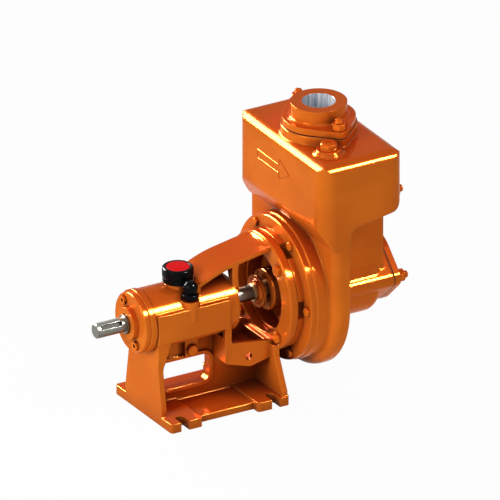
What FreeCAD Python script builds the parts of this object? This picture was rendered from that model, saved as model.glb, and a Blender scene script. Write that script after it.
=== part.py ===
import FreeCAD, Part
import math
import os
from types import SimpleNamespace

import Sketcher
from FreeCAD import Placement, Rotation, Vector

# Self-priming centrifugal pump with a bare shaft. X runs along the shaft from the drive end to the
# pump, Y points to the far side and Z is up. The origin is on the floor under the middle of the foot.
# Every driving size stands in this table, in millimetres unless its name says otherwise.
SIZES = {
    "axis_height": 160,
    "running_gap": 0.05,
    "fit_gap": 0.1,
    "wall": 9,
    "gasket_thick": 1.5,
    "bracket_start": -119,
    "housing_radius": 49,
    "housing_length": 147,
    "oil_space_radius": 40,
    "collar_width": 10,
    "panel_start": -107,
    "panel_length": 127,
    "panel_height": 48,
    "panel_proud": 2.5,
    "foot_length": 210,
    "foot_width": 172,
    "foot_middle_width": 143,
    "foot_pad_length": 56,
    "foot_thick": 15,
    "foot_middle_thick": 11,
    "foot_corner": 5,
    "slot_width": 14,
    "slot_depth": 24,
    "slot_spacing": 161,
    "drive_leg_thick": 9,
    "drive_leg_top_thick": 23,
    "drive_leg_half_width": 45,
    "drive_leg_half_foot": 55,
    "drive_leg_flare_low": 28,
    "drive_leg_flare_high": 89,
    "pump_leg_start": 93,
    "pump_leg_half_top": 58,
    "pump_leg_half_foot": 83,
    "pump_leg_low": 22,
    "pump_leg_high": 74,
    "web_thick": 8,
    "web_rim_thick": 16,
    "web_rim_width": 6,
    "window_start": -80,
    "window_length": 88,
    "window_low": 34,
    "window_height": 46,
    "window_corner": 12,
    "side_plate_outer": 46,
    "side_plate_thick": 7,
    "side_plate_reach": 24,
    "arm_half_width": 34,
    "arm_thick": 6,
    "arm_start": -36,
    "arm_end_rise": 87,
    "arm_rise": 72,
    "lantern_flange_start": 101.6,
    "trough_drop": 5,
    "side_plate_front_rise": 30,
    "side_plate_back_rise": 41,
    "drip_hole_rise": 12.5,
    "lantern_flange_thick": 14.2,
    "lantern_flange_radius": 95,
    "lantern_bore_radius": 66,
    "lantern_bolt_circle": 80,
    "bearing_bore": 15,
    "bearing_outer": 31,
    "bearing_width": 16,
    "race_thick": 5,
    "ball_radius": 4.7,
    "balls_per_bearing": 9,
    "cover_rim_thick": 9,
    "cover_radius": 48,
    "cover_boss_radius": 26.4,
    "cover_boss_thick": 9,
    "cover_bore": 22,
    "inner_cover_thick": 10,
    "cover_screw_circle": 36.5,
    "seal_width": 7,
    "drive_end_start": -191,
    "drive_end_radius": 12,
    "drive_end_length": 50,
    "shaft_collar_radius": 18,
    "shaft_radius": 12,
    "sleeve_radius": 14,
    "impeller_seat_radius": 10,
    "shaft_thread_radius": 8,
    "key_width": 8,
    "keyway_depth": 4,
    "keyway_turn": 50,
    "key_length": 38,
    "key_end_gap": 5,
    "deflector_radius": 26,
    "deflector_thick": 4,
    "cover_hub_thick": 10.7,
    "cover_plate_thick": 8.5,
    "cover_plate_radius": 115,
    "cover_spigot_radius": 94,
    "cover_spigot_length": 20,
    "scallop_radius": 18,
    "cover_bolt_circle": 104,
    "seal_chamber_radius": 24,
    "seal_plate_radius": 33,
    "seal_plate_thick": 7,
    "casing_ring_radius": 116.6,
    "casing_ring_length": 21,
    "volute_radius": 131,
    "volute_thick": 30,
    "volute_edge": 16,
    "volute_space": 14,
    "impeller_radius": 86,
    "impeller_eye_radius": 38,
    "vane_height": 10,
    "vane_thick": 4.5,
    "vane_count": 6,
    "shroud_thick": 3.5,
    "wear_ring_thick": 4,
    "tank_start": 136,
    "tank_length": 149,
    "tank_top": 408,
    "tank_front_low": 299,
    "tank_slope_low": 262,
    "tank_corner": 26,
    "tank_top_edge": 18,
    "tank_fall": 12,
    "chamber_half_width": 62,
    "chamber_radius": 69,
    "chamber_roof": 365,
    "nozzle_radius": 57,
    "nozzle_length": 12,
    "lug_centre": 62,
    "lug_radius": 14,
    "port_plate_thick": 10,
    "port_neck_radius": 44,
    "port_radius": 25.7,
    "port_top": 457,
    "discharge_centre": 206.5,
    "discharge_pad": 14,
    "pad_margin": 2.5,
    "plug_boss_height": 6.5,
    "suction_centre": 308,
    "suction_pad": 3,
    "suction_hub": 13,
    "inspection_bore": 45,
    "flap_radius": 32,
    "flap_thick": 4,
    "flap_pin_radius": 4,
    "flap_pin_drop": 7,
    "plug_centre_x": 178,
    "plug_inset": 52,
    "plug_boss_radius": 22,
    "plug_head_radius": 14,
    "plug_head_height": 12,
    "plug_thread_radius": 11,
    "oil_cup_x": -44,
    "oil_cup_radius": 24.5,
    "oil_cap_height": 15.5,
    "oil_cup_height": 8,
    "cup_boss_rise": 3.5,
    "elbow_reach": 38,
    "elbow_tube_radius": 8,
    "elbow_bulb_radius": 13.3,
    "elbow_nut_height": 6,
    "drain_x": -27.5,
    "drain_drop": 64,
    "screw_small": 3,
    "screw_medium": 4,
    "screw_large": 5,
    "stud_radius": 6,
    "stud_depth": 11,
    "stud_over": 8,
}

doc = FreeCAD.newDocument("CentrifugalPump")
sheet = doc.addObject("Spreadsheet::Sheet", "Sizes")
for row, (word, millimetres) in enumerate(SIZES.items(), 1):
    sheet.set(f"A{row}", word)
    sheet.set(f"B{row}", str(millimetres))
    sheet.setAlias(f"B{row}", word)
doc.recompute()


class Size:
    """A length with its number now and the expression on the sheet that keeps it true."""

    def __init__(self, value, words):
        self.value = value
        self.words = words

    def __add__(self, other):
        return Size(self.value + number(other), f"({self.words} + {words(other)})")

    def __radd__(self, other):
        return self + other

    def __sub__(self, other):
        return Size(self.value - number(other), f"({self.words} - {words(other)})")

    def __rsub__(self, other):
        return Size(number(other) - self.value, f"({words(other)} - {self.words})")

    def __mul__(self, other):
        return Size(self.value * number(other), f"({self.words} * {words(other)})")

    def __rmul__(self, other):
        return self * other

    def __truediv__(self, other):
        return Size(self.value / number(other), f"({self.words} / {words(other)})")

    def __neg__(self):
        return Size(-self.value, f"(0 - {self.words})")

    def root(self):
        return Size(math.sqrt(self.value), f"sqrt({self.words})")


def number(item):
    """The number of a size or of a plain number."""
    return item.value if isinstance(item, Size) else float(item)


def words(item):
    """The expression of a size or of a plain number."""
    return item.words if isinstance(item, Size) else f"({float(item):.9f})"


s = SimpleNamespace(**{word: Size(float(sheet.get(word)), f"Sizes.{word}") for word in SIZES})
AXES = {
    "X": Rotation(Vector(0, 1, 0), 90),
    "-X": Rotation(Vector(0, 1, 0), -90),
    "Y": Rotation(Vector(1, 0, 0), -90),
    "-Y": Rotation(Vector(1, 0, 0), 90),
    "Z": Rotation(),
}
PLANES = {
    "XY": Rotation(),
    "XZ": Rotation(Vector(1, 0, 0), 90),
    "YZ": Rotation(Vector(1, 1, 1), 120),
}
NORMALS = {"XY": Vector(0, 0, 1), "XZ": Vector(0, 1, 0), "YZ": Vector(1, 0, 0)}
nodes = {}


def bind(item, sizes):
    """Sets each property of an object to a size of the sheet."""
    for field, length in sizes.items():
        item.setExpression(field, words(length))


def place(item, turn, x=0, y=0, z=0):
    """Turns an object and binds its place to the sheet."""
    item.Placement = Placement(Vector(number(x), number(y), number(z)), turn)
    bind(item, {"Placement.Base.x": x, "Placement.Base.y": y, "Placement.Base.z": z})
    return item


def rod(name, axis, x, y, z, radius, length):
    """A cylinder that starts at (x, y, z) and runs along an axis."""
    item = doc.addObject("Part::Cylinder", name)
    bind(item, {"Radius": radius, "Height": length})
    return place(item, AXES[axis], x, y, z)


def ball(name, x, y, z, radius):
    """A sphere about (x, y, z)."""
    item = doc.addObject("Part::Sphere", name)
    bind(item, {"Radius": radius})
    return place(item, Rotation(), x, y, z)


def block(name, x_range, y_range, z_range):
    """A box between two places along each axis."""
    item = doc.addObject("Part::Box", name)
    bind(item, {
        "Length": x_range[1] - x_range[0],
        "Width": y_range[1] - y_range[0],
        "Height": z_range[1] - z_range[0],
    })
    return place(item, Rotation(), x_range[0], y_range[0], z_range[0])


def hexagon(name, axis, x, y, z, across_flats, height):
    """A hexagonal prism that starts at (x, y, z) and runs along an axis."""
    item = doc.addObject("Part::Prism", name)
    item.Polygon = 6
    bind(item, {"Circumradius": across_flats / math.sqrt(3), "Height": height})
    return place(item, AXES[axis], x, y, z)


def draw(sketch, corners):
    """Draws a closed outline through (u, v) corners, a third value being the corner's radius."""
    spots = [Vector(number(corner[0]), number(corner[1]), 0) for corner in corners]
    count = len(corners)
    starts = list(spots)
    ends = list(spots)
    arcs = {}
    for index, corner in enumerate(corners):
        if len(corner) == 2:
            continue
        radius = number(corner[2])
        spot = spots[index]
        back = (spots[index - 1] - spot).normalize()
        ahead = (spots[(index + 1) % count] - spot).normalize()
        half_angle = back.getAngle(ahead) / 2
        run = radius / math.tan(half_angle)
        ends[index] = spot + back * run
        starts[index] = spot + ahead * run
        centre = spot + (back + ahead).normalize() * (radius / math.sin(half_angle))
        leftward = ahead.cross(back).z > 0
        first, last = (ends[index], starts[index]) if leftward else (starts[index], ends[index])
        circle = Part.Circle(centre, Vector(0, 0, 1), radius)
        arcs[index] = (Part.ArcOfCircle(circle, circle.parameter(first), circle.parameter(last)), leftward)
    lines = []
    for index in range(count):
        line = Part.LineSegment(starts[index], ends[(index + 1) % count])
        lines.append(sketch.addGeometry(line, False))
    bound = []
    for index, corner in enumerate(corners):
        before = lines[index - 1]
        after = lines[index]
        if index in arcs:
            curve, leftward = arcs[index]
            arc = sketch.addGeometry(curve, False)
            first, last = (1, 2) if leftward else (2, 1)
            sketch.addConstraint(Sketcher.Constraint("Tangent", before, 2, arc, first))
            sketch.addConstraint(Sketcher.Constraint("Tangent", arc, last, after, 1))
            radius = Sketcher.Constraint("Radius", arc, number(corner[2]))
            bound.append((sketch.addConstraint(radius), corner[2]))
            held = sketch.addGeometry(Part.Point(spots[index]), True)
            sketch.addConstraint(Sketcher.Constraint("PointOnObject", held, 1, before))
            sketch.addConstraint(Sketcher.Constraint("PointOnObject", held, 1, after))
        else:
            held = after
            sketch.addConstraint(Sketcher.Constraint("Coincident", before, 2, after, 1))
        for kind, length in (("DistanceX", corner[0]), ("DistanceY", corner[1])):
            constraint = Sketcher.Constraint(kind, -1, 1, held, 1, number(length))
            bound.append((sketch.addConstraint(constraint), length))
    for index, length in bound:
        if isinstance(length, Size):
            sketch.setExpression(f"Constraints[{index}]", words(length))


def slab(name, plane, start, end, corners):
    """An outline on a plane, carried along the plane's axis from one place to another."""
    sketch = doc.addObject("Sketcher::SketchObject", f"{name}_outline")
    draw(sketch, corners)
    spot = {"XY": "z", "XZ": "y", "YZ": "x"}[plane]
    place(sketch, PLANES[plane], **{spot: start})
    item = doc.addObject("Part::Extrusion", name)
    item.Base = sketch
    item.DirMode = "Custom"
    item.Dir = NORMALS[plane]
    item.Solid = True
    bind(item, {"LengthFwd": end - start})
    return item


def turned(name, corners, upright=False, x=0, y=0, z=0):
    """A turned piece: its half section, as (along, radius), turned about X, or about Z if upright."""
    body = doc.addObject("PartDesign::Body", name)
    sketch = body.newObject("Sketcher::SketchObject", f"{name}_section")
    plane = [item for item in body.Origin.OriginFeatures if item.Role == "XZ_Plane"][0]
    sketch.AttachmentSupport = [(plane, "")]
    sketch.MapMode = "FlatFace"
    draw(sketch, [(corner[1], corner[0]) if upright else corner for corner in corners])
    turn = body.newObject("PartDesign::Revolution", f"{name}_turn")
    turn.Profile = sketch
    turn.ReferenceAxis = (sketch, ["V_Axis" if upright else "H_Axis"])
    turn.Angle = 360
    body.Tip = turn
    return place(body, Rotation(), x, y, z)


def fuse(name, *items):
    """One solid from several."""
    item = doc.addObject("Part::MultiFuse", name)
    item.Shapes = list(items)
    item.Refine = True
    return item


def cut(name, base, *tools):
    """A solid with others cut out of it."""
    item = doc.addObject("Part::Cut", name)
    item.Base = base
    item.Tool = tools[0] if len(tools) == 1 else fuse(f"{name}_tools", *tools)
    return item


def common(name, *items):
    """What several solids share."""
    item = doc.addObject("Part::MultiCommon", name)
    item.Shapes = list(items)
    return item


def group(name, items):
    """Like pieces kept together, each a solid of its own."""
    item = doc.addObject("Part::Compound", name)
    item.Links = list(items)
    return item


def made(name, shape):
    """A piece whose shape comes from formulas that read the sheet."""
    item = doc.addObject("Part::Feature", name)
    item.Shape = shape
    return item


def node(name, item):
    """Names a finished piece."""
    item.Label = name
    nodes[name] = item
    return item


def ring_places(count, radius, first_angle=0.0):
    """Places (y, z) about the shaft axis, evenly spaced."""
    places = []
    for index in range(count):
        angle = math.radians(first_angle + 360 * index / count)
        places.append((radius * math.cos(angle), s.axis_height + radius * math.sin(angle)))
    return places


def bolt(name, axis, x, y, z, radius, grip, socket=False):
    """A screw whose head stands back from (x, y, z) and whose shank runs on along the axis."""
    head = radius * (2.0 if socket else 1.3)
    ways = AXES[axis].multVec(Vector(0, 0, 1))
    spot = [place_now - way * head for place_now, way in zip((x, y, z), ways)]
    if socket:
        cap = rod(f"{name}_cap", axis, *spot, radius * 1.6, head)
        key_hole = hexagon(f"{name}_key", axis, *spot, radius * 1.5, head / 2)
        top = cut(f"{name}_head", cap, key_hole)
    else:
        top = hexagon(f"{name}_head", axis, *spot, radius * 3.25, head)
    shank = rod(f"{name}_shank", axis, x, y, z, radius, grip)
    return fuse(name, top, shank)


def nut(name, axis, x, y, z, radius, height):
    """A hexagon nut that starts at (x, y, z), with room for its stud."""
    outside = hexagon(f"{name}_hex", axis, x, y, z, radius * 3.25, height)
    hole = rod(f"{name}_hole", axis, x, y, z, radius + s.running_gap, height)
    return cut(name, outside, hole)


def rounded_bar(name, x_range, width, z_range):
    """A key along the shaft, with both ends round."""
    half = width / 2
    middle = block(f"{name}_bar", (x_range[0] + half, x_range[1] - half), (-half, half), z_range)
    height = z_range[1] - z_range[0]
    first = rod(f"{name}_first", "Z", x_range[0] + half, 0, z_range[0], half, height)
    last = rod(f"{name}_last", "Z", x_range[1] - half, 0, z_range[0], half, height)
    return fuse(name, middle, first, last)


# The bearing bracket is one iron casting. Its foot, legs and web carry the bearing housing, and its
# lantern of side plates, floor and arm carries the flange that the pump bolts to.
axis = s.axis_height
housing_end = s.bracket_start + s.housing_length + s.inner_cover_thick
flange_start = s.lantern_flange_start
flange_end = flange_start + s.lantern_flange_thick
half_foot = s.foot_length / 2
half_width = s.foot_width / 2
half_middle = s.foot_middle_width / 2
drain_z = axis - s.drain_drop

foot_parts = []
for pad_name, pad_start in (("drive_pad", -half_foot), ("pump_pad", half_foot - s.foot_pad_length)):
    pad_end = pad_start + s.foot_pad_length
    foot_parts.append(slab(pad_name, "XY", 0, s.foot_thick, [
        (pad_start, -half_width, s.foot_corner),
        (pad_end, -half_width, s.foot_corner),
        (pad_end, half_width, s.foot_corner),
        (pad_start, half_width, s.foot_corner),
    ]))
foot_parts.append(block("foot_middle", (-half_foot + s.foot_corner, half_foot - s.foot_corner),
                        (-half_middle, half_middle), (0, s.foot_middle_thick)))

slots = []
slot_end = half_width - s.slot_depth + s.slot_width / 2
for side in (-1, 1):
    for end in (-1, 1):
        slot_x = end * s.slot_spacing / 2
        slot_name = f"slot_{side + 1}_{end + 1}"
        low, high = (slot_end, half_width + 1) if side > 0 else (-half_width - 1, -slot_end)
        slots.append(block(slot_name, (slot_x - s.slot_width / 2, slot_x + s.slot_width / 2),
                           (low, high), (-1, s.foot_thick + 1)))
        slots.append(rod(f"{slot_name}_end", "Z", slot_x, side * slot_end, -1, s.slot_width / 2,
                         s.foot_thick + 2))

drive_leg_top = axis - s.housing_radius * 0.3
drive_leg_side = slab("drive_leg_side", "XZ", -half_width, half_width, [
    (-half_foot, 0),
    (-half_foot + s.drive_leg_thick, 0),
    (-half_foot + s.drive_leg_thick, s.drive_leg_flare_high, s.drive_leg_flare_low),
    (-half_foot + s.drive_leg_top_thick, drive_leg_top - s.housing_radius * 0.3),
    (-half_foot + s.drive_leg_top_thick, drive_leg_top),
    (-half_foot, drive_leg_top),
])
drive_leg_front = slab("drive_leg_front", "YZ", -half_foot, 0, [
    (-s.drive_leg_half_foot, 0),
    (s.drive_leg_half_foot, 0),
    (s.drive_leg_half_foot, s.drive_leg_flare_low, s.housing_radius),
    (s.drive_leg_half_width, s.drive_leg_flare_high, s.housing_radius),
    (s.drive_leg_half_width, drive_leg_top),
    (-s.drive_leg_half_width, drive_leg_top),
    (-s.drive_leg_half_width, s.drive_leg_flare_high, s.housing_radius),
    (-s.drive_leg_half_foot, s.drive_leg_flare_low, s.housing_radius),
])
drive_leg = common("drive_leg", drive_leg_side, drive_leg_front)
pump_leg_top = axis - s.lantern_bolt_circle * 0.87
pump_leg = slab("pump_leg", "YZ", s.pump_leg_start, flange_start + 1, [
    (-s.pump_leg_half_foot, 0),
    (s.pump_leg_half_foot, 0),
    (s.pump_leg_half_foot, s.pump_leg_low, s.foot_corner),
    (s.pump_leg_half_top, s.pump_leg_high, s.foot_corner),
    (s.pump_leg_half_top, pump_leg_top),
    (-s.pump_leg_half_top, pump_leg_top),
    (-s.pump_leg_half_top, s.pump_leg_high, s.foot_corner),
    (-s.pump_leg_half_foot, s.pump_leg_low, s.foot_corner),
])


def window_outline(margin):
    """The window in the web, larger all round by a margin."""
    window_end = s.window_start + s.window_length
    window_top = s.window_low + s.window_height
    return [
        (s.window_start - margin, s.window_low - margin, s.window_corner + margin),
        (window_end + margin, s.window_low - margin, s.window_corner + margin),
        (window_end + margin, window_top + margin, s.window_corner + margin),
        (s.window_start - margin, window_top + margin, s.window_corner + margin),
    ]


trough_low = axis - s.lantern_flange_radius
plate_start = housing_end - s.side_plate_reach
web = slab("web", "XZ", -s.web_thick / 2, s.web_thick / 2, [
    (-half_foot + s.drive_leg_thick / 2, s.foot_middle_thick / 2),
    (s.pump_leg_start + 1, s.foot_middle_thick / 2),
    (s.pump_leg_start + 1, trough_low + s.wall / 2),
    (plate_start + s.wall, trough_low + s.wall),
    (plate_start + s.wall, axis - s.oil_space_radius - s.wall / 2),
    (-half_foot + s.drive_leg_thick / 2, axis - s.oil_space_radius - s.wall / 2),
])
web_rim = slab("web_rim", "XZ", -s.web_rim_thick / 2, s.web_rim_thick / 2, window_outline(s.web_rim_width))
web_window = slab("web_window", "XZ", -s.web_rim_thick, s.web_rim_thick, window_outline(Size(0, "0")))

# The lantern's side plates end in a shallow trough under the shaft, with a hole for drips each side.
strip_end = plate_start + s.wall + 2
trough_point = (plate_start + flange_start) / 2
side_outline = [
    (plate_start, trough_low + s.wall, s.foot_corner),
    (trough_point, trough_low - s.trough_drop, s.foot_corner),
    (flange_start + 1, trough_low + s.wall / 2),
    (flange_start + 1, trough_low + s.side_plate_front_rise),
    (strip_end, trough_low + s.side_plate_back_rise, s.foot_corner),
    (strip_end, axis),
    (plate_start, axis),
]
side_plates = []
for side, low, high in (("near", -s.side_plate_outer, s.side_plate_thick - s.side_plate_outer),
                        ("far", s.side_plate_outer - s.side_plate_thick, s.side_plate_outer)):
    side_plates.append(slab(f"{side}_side_plate", "XZ", low, high, side_outline))
trough = slab("trough", "XZ", -s.side_plate_outer + 1, s.side_plate_outer - 1, [
    (plate_start + 1, trough_low + s.wall, s.foot_corner),
    (trough_point, trough_low - s.trough_drop, s.foot_corner),
    (flange_start + 1, trough_low + s.wall / 2),
    (flange_start + 1, trough_low + s.wall / 2 + s.side_plate_thick),
    (trough_point, trough_low - s.trough_drop + s.side_plate_thick, s.foot_corner),
    (plate_start + 1, trough_low + s.wall + s.side_plate_thick),
])
lantern_wall = block("lantern_wall", (plate_start, plate_start + s.wall),
                     (1 - s.side_plate_outer, s.side_plate_outer - 1),
                     (trough_low + s.wall + 1, axis - s.oil_space_radius - s.wall / 2))
drip_hole = rod("drip_hole", "Y", trough_point - 2, -half_width, trough_low + s.drip_hole_rise, s.stud_radius,
                s.foot_width)

arm_middle = (s.arm_start + flange_start) / 2 - s.lantern_flange_thick
arm = slab("arm", "XZ", -s.arm_half_width, s.arm_half_width, [
    (s.arm_start, axis + s.housing_radius - s.arm_thick),
    (arm_middle, axis + s.arm_rise - s.arm_thick, s.lantern_flange_radius * 2),
    (flange_start + 1, axis + s.arm_end_rise - s.arm_thick),
    (flange_start + 1, axis + s.arm_end_rise),
    (arm_middle, axis + s.arm_rise, s.lantern_flange_radius * 2),
    (s.arm_start, axis + s.housing_radius),
])
root_share = 0.25
arm_root = slab("arm_root", "XZ", -s.arm_half_width, s.arm_half_width, [
    (s.arm_start, axis),
    (s.arm_start + s.arm_half_width * root_share, axis),
    (s.arm_start + (arm_middle - s.arm_start) * root_share,
     axis + s.housing_radius - s.arm_thick / 2 + (s.arm_rise - s.housing_radius) * root_share),
    (s.arm_start, axis + s.housing_radius - s.arm_thick / 2),
])
arm_rib = slab("arm_rib", "XZ", -s.web_thick / 2, s.web_thick / 2, [
    (s.arm_start, axis + s.housing_radius * 0.9),
    (housing_end, axis + s.housing_radius * 0.9),
    (housing_end, axis + s.arm_rise - s.arm_thick / 2),
    (arm_middle, axis + s.arm_rise - s.arm_thick / 2, s.lantern_flange_radius),
    (s.arm_start, axis + s.housing_radius - s.arm_thick / 2),
])
cross_wall = slab("cross_wall", "YZ", housing_end - s.wall / 2, housing_end + s.wall / 2, [
    (-s.arm_half_width, axis + s.housing_radius * 0.6),
    (s.arm_half_width, axis + s.housing_radius * 0.6),
    (s.arm_half_width, axis + s.arm_rise),
    (-s.arm_half_width, axis + s.arm_rise),
])
cross_window = slab("cross_window", "YZ", housing_end - s.wall, housing_end + s.wall, [
    (-s.arm_half_width + s.wall, axis + s.housing_radius * 0.8),
    (s.arm_half_width - s.wall, axis + s.housing_radius * 0.8),
    (s.arm_half_width / 2, axis + s.arm_rise - s.wall),
    (-s.arm_half_width / 2, axis + s.arm_rise - s.wall),
])
flange_ring = turned("flange_ring", [
    (flange_start, s.lantern_bore_radius),
    (flange_start, s.lantern_flange_radius - 2),
    (flange_start + 2, s.lantern_flange_radius),
    (flange_end - 1, s.lantern_flange_radius),
    (flange_end, s.lantern_flange_radius - 1),
    (flange_end, s.lantern_bore_radius),
], z=axis)

panel_block = block("panel_block", (s.panel_start, s.panel_start + s.panel_length),
                    (-s.housing_radius - s.panel_proud, 0), (axis - s.panel_height / 2, axis + s.panel_height / 2))
cover_space = rod("cover_space", "X", housing_end, 0, axis, s.housing_radius, s.panel_length)
housing_parts = [
    rod("housing", "X", s.bracket_start, 0, axis, s.housing_radius, s.housing_length + s.inner_cover_thick),
    rod("housing_collar", "X", s.bracket_start, 0, axis, s.housing_radius + 1.5, s.collar_width),
    cut("name_panel", panel_block, cover_space),
    rod("cup_boss", "Z", s.oil_cup_x, 0, axis, s.oil_cup_radius * 0.9, s.housing_radius + s.cup_boss_rise),
    rod("elbow_boss", "Z", s.oil_cup_x, -s.elbow_reach, axis, s.elbow_bulb_radius + 1.5,
        s.housing_radius - s.elbow_bulb_radius - 1.5),
    block("drain_boss", (s.drain_x - s.slot_width * 0.8, s.drain_x + s.slot_width * 0.8),
          (-s.slot_width, s.slot_width), (drain_z - s.slot_width * 0.8, axis - s.oil_space_radius)),
]
bearing_seat = s.bearing_outer
drive_seat_end = s.bracket_start + 1 + s.bearing_width
pump_seat_start = housing_end - 2 - s.bearing_width
housing_bore = turned("housing_bore", [
    (s.bracket_start - 1, 0),
    (s.bracket_start - 1, bearing_seat),
    (drive_seat_end, bearing_seat),
    (drive_seat_end, bearing_seat - 3),
    (drive_seat_end + 3, bearing_seat - 3),
    (drive_seat_end + 3, s.oil_space_radius),
    (pump_seat_start - 3, s.oil_space_radius),
    (pump_seat_start - 3, bearing_seat - 3),
    (pump_seat_start, bearing_seat - 3),
    (pump_seat_start, bearing_seat),
    (housing_end + 1, bearing_seat),
    (housing_end + 1, 0),
], z=axis)
cup_hole = rod("cup_hole", "Z", s.oil_cup_x, 0, axis, s.oil_cup_radius * 0.4, s.housing_radius * 2)
elbow_hole = rod("elbow_hole", "Z", s.oil_cup_x, -s.elbow_reach, axis + s.oil_space_radius * 0.4,
                 s.elbow_bulb_radius / 2, s.housing_radius)
drain_hole = rod("drain_hole", "-Y", s.drain_x, 0, drain_z, s.stud_radius, s.slot_width + 1)
drain_rise = rod("drain_rise", "Z", s.drain_x, 0, drain_z, s.stud_radius / 2, axis - drain_z)

outboard_screw_places = ring_places(2, s.cover_screw_circle, 60)
inboard_screw_places = ring_places(4, s.cover_screw_circle, 45)
lantern_bolt_places = ring_places(4, s.lantern_bolt_circle, 45)
screw_holes = []
for index, (y, z) in enumerate(outboard_screw_places):
    screw_holes.append(rod(f"outboard_hole_{index}", "X", s.bracket_start - 1, y, z,
                           s.screw_medium + s.running_gap, s.bearing_width + 2))
for index, (y, z) in enumerate(inboard_screw_places):
    screw_holes.append(rod(f"inboard_hole_{index}", "-X", housing_end + 1, y, z,
                           s.screw_small + s.running_gap, s.bearing_width))
for index, (y, z) in enumerate(lantern_bolt_places):
    screw_holes.append(rod(f"lantern_hole_{index}", "X", flange_start - 1, y, z,
                           s.screw_large + s.running_gap, s.lantern_flange_thick + 2))

cup_relief = rod("cup_relief", "Z", s.oil_cup_x, 0, axis + s.housing_radius + s.cup_boss_rise,
                 s.oil_cup_radius + 1, s.housing_radius)
elbow_relief = rod("elbow_relief", "Z", s.oil_cup_x, -s.elbow_reach,
                   axis + s.housing_radius - s.elbow_bulb_radius - 1.5, s.elbow_bulb_radius + 1,
                   s.housing_radius)
bracket_body = fuse("bracket_body", *foot_parts, drive_leg, pump_leg, web, web_rim, *side_plates, trough,
                    lantern_wall, arm, arm_root, arm_rib, cross_wall, flange_ring, *housing_parts)
bracket = cut("bracket", bracket_body, *slots, web_window, drip_hole, cross_window, housing_bore,
              cup_hole, elbow_hole, cup_relief, elbow_relief, drain_hole, drain_rise, *screw_holes)
node("bearing_bracket", bracket)

# The shaft is turned in steps: coupling end, bearing seats with a collar between, seal seat, impeller
# seat and thread. The drive end's keyway is empty, and a round-ended key drives the impeller.
shaft_collar_start = drive_seat_end
shaft_collar_end = pump_seat_start
drive_shoulder = s.drive_end_start + s.drive_end_length
pump_shoulder = housing_end + s.wall
impeller_seat_start = flange_end + s.cover_hub_thick + s.cover_plate_thick + s.gasket_thick + s.wall + 5
impeller_hub_end = impeller_seat_start + s.impeller_radius * 0.3
shaft_end = impeller_hub_end + s.shaft_thread_radius * 2
shaft_blank = turned("shaft_blank", [
    (s.drive_end_start, 0),
    (s.drive_end_start, s.drive_end_radius - 1.5),
    (s.drive_end_start + 1.5, s.drive_end_radius),
    (drive_shoulder, s.drive_end_radius),
    (drive_shoulder, s.bearing_bore),
    (shaft_collar_start, s.bearing_bore),
    (shaft_collar_start, s.shaft_collar_radius),
    (shaft_collar_end, s.shaft_collar_radius),
    (shaft_collar_end, s.bearing_bore),
    (pump_shoulder, s.bearing_bore),
    (pump_shoulder, s.shaft_radius),
    (impeller_seat_start, s.shaft_radius),
    (impeller_seat_start, s.impeller_seat_radius),
    (impeller_hub_end, s.impeller_seat_radius),
    (impeller_hub_end, s.shaft_thread_radius),
    (shaft_end, s.shaft_thread_radius),
    (shaft_end, 0),
], z=axis)
key_start = s.drive_end_start + s.key_end_gap
key_end = key_start + s.key_length
key_floor = s.drive_end_radius - s.keyway_depth
keyway = rounded_bar("keyway", (key_start, key_end), s.key_width, (key_floor, s.drive_end_radius * 2))
place(keyway, Rotation(Vector(1, 0, 0), s.keyway_turn.value), z=axis)
small_key_width = s.key_width * 0.6
small_key_start = impeller_seat_start + 3
small_key_end = impeller_hub_end - 4
small_key_floor = axis + s.impeller_seat_radius - small_key_width / 2
small_key_top = axis + s.impeller_seat_radius + small_key_width / 2
small_keyway = rounded_bar("small_keyway", (small_key_start, small_key_end), small_key_width,
                           (small_key_floor, axis + s.impeller_seat_radius * 2))
impeller_key = rounded_bar("impeller_key_bar", (small_key_start + s.running_gap, small_key_end - s.running_gap),
                           small_key_width - 2 * s.running_gap, (small_key_floor, small_key_top))
node("drive_shaft", cut("shaft", shaft_blank, keyway, small_keyway))
node("impeller_key", impeller_key)


# Each ball bearing has an outer ring in the housing, an inner ring on the shaft and a ring of balls.
def bearing(side, start):
    """The two rings and the balls of one bearing."""
    end = start + s.bearing_width
    middle = start + s.bearing_width / 2
    pitch = (s.bearing_bore + s.bearing_outer) / 2
    groove = s.ball_radius + s.fit_gap
    race = doc.addObject("Part::Torus", f"{side}_race")
    bind(race, {"Radius1": pitch, "Radius2": groove})
    place(race, AXES["X"], middle, 0, axis)
    rings = {
        "inner": (s.bearing_bore, s.bearing_bore + s.race_thick),
        "outer": (s.bearing_outer - s.race_thick, s.bearing_outer),
    }
    for ring, (low, high) in rings.items():
        blank = turned(f"{side}_{ring}_blank", [(start, low), (start, high), (end, high), (end, low)], z=axis)
        node(f"{side}_bearing_{ring}_ring", cut(f"{side}_{ring}", blank, race))
    balls = []
    for index in range(int(s.balls_per_bearing.value)):
        angle = 2 * math.pi * index / int(s.balls_per_bearing.value)
        balls.append(ball(f"{side}_ball_{index}", middle, pitch * math.cos(angle),
                          axis + pitch * math.sin(angle), s.ball_radius))
    node(f"{side}_bearing_balls", group(f"{side}_balls", balls))


outboard_bearing_start = s.bracket_start + 1
inboard_bearing_start = pump_seat_start
bearing("outboard", outboard_bearing_start)
bearing("inboard", inboard_bearing_start)

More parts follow.
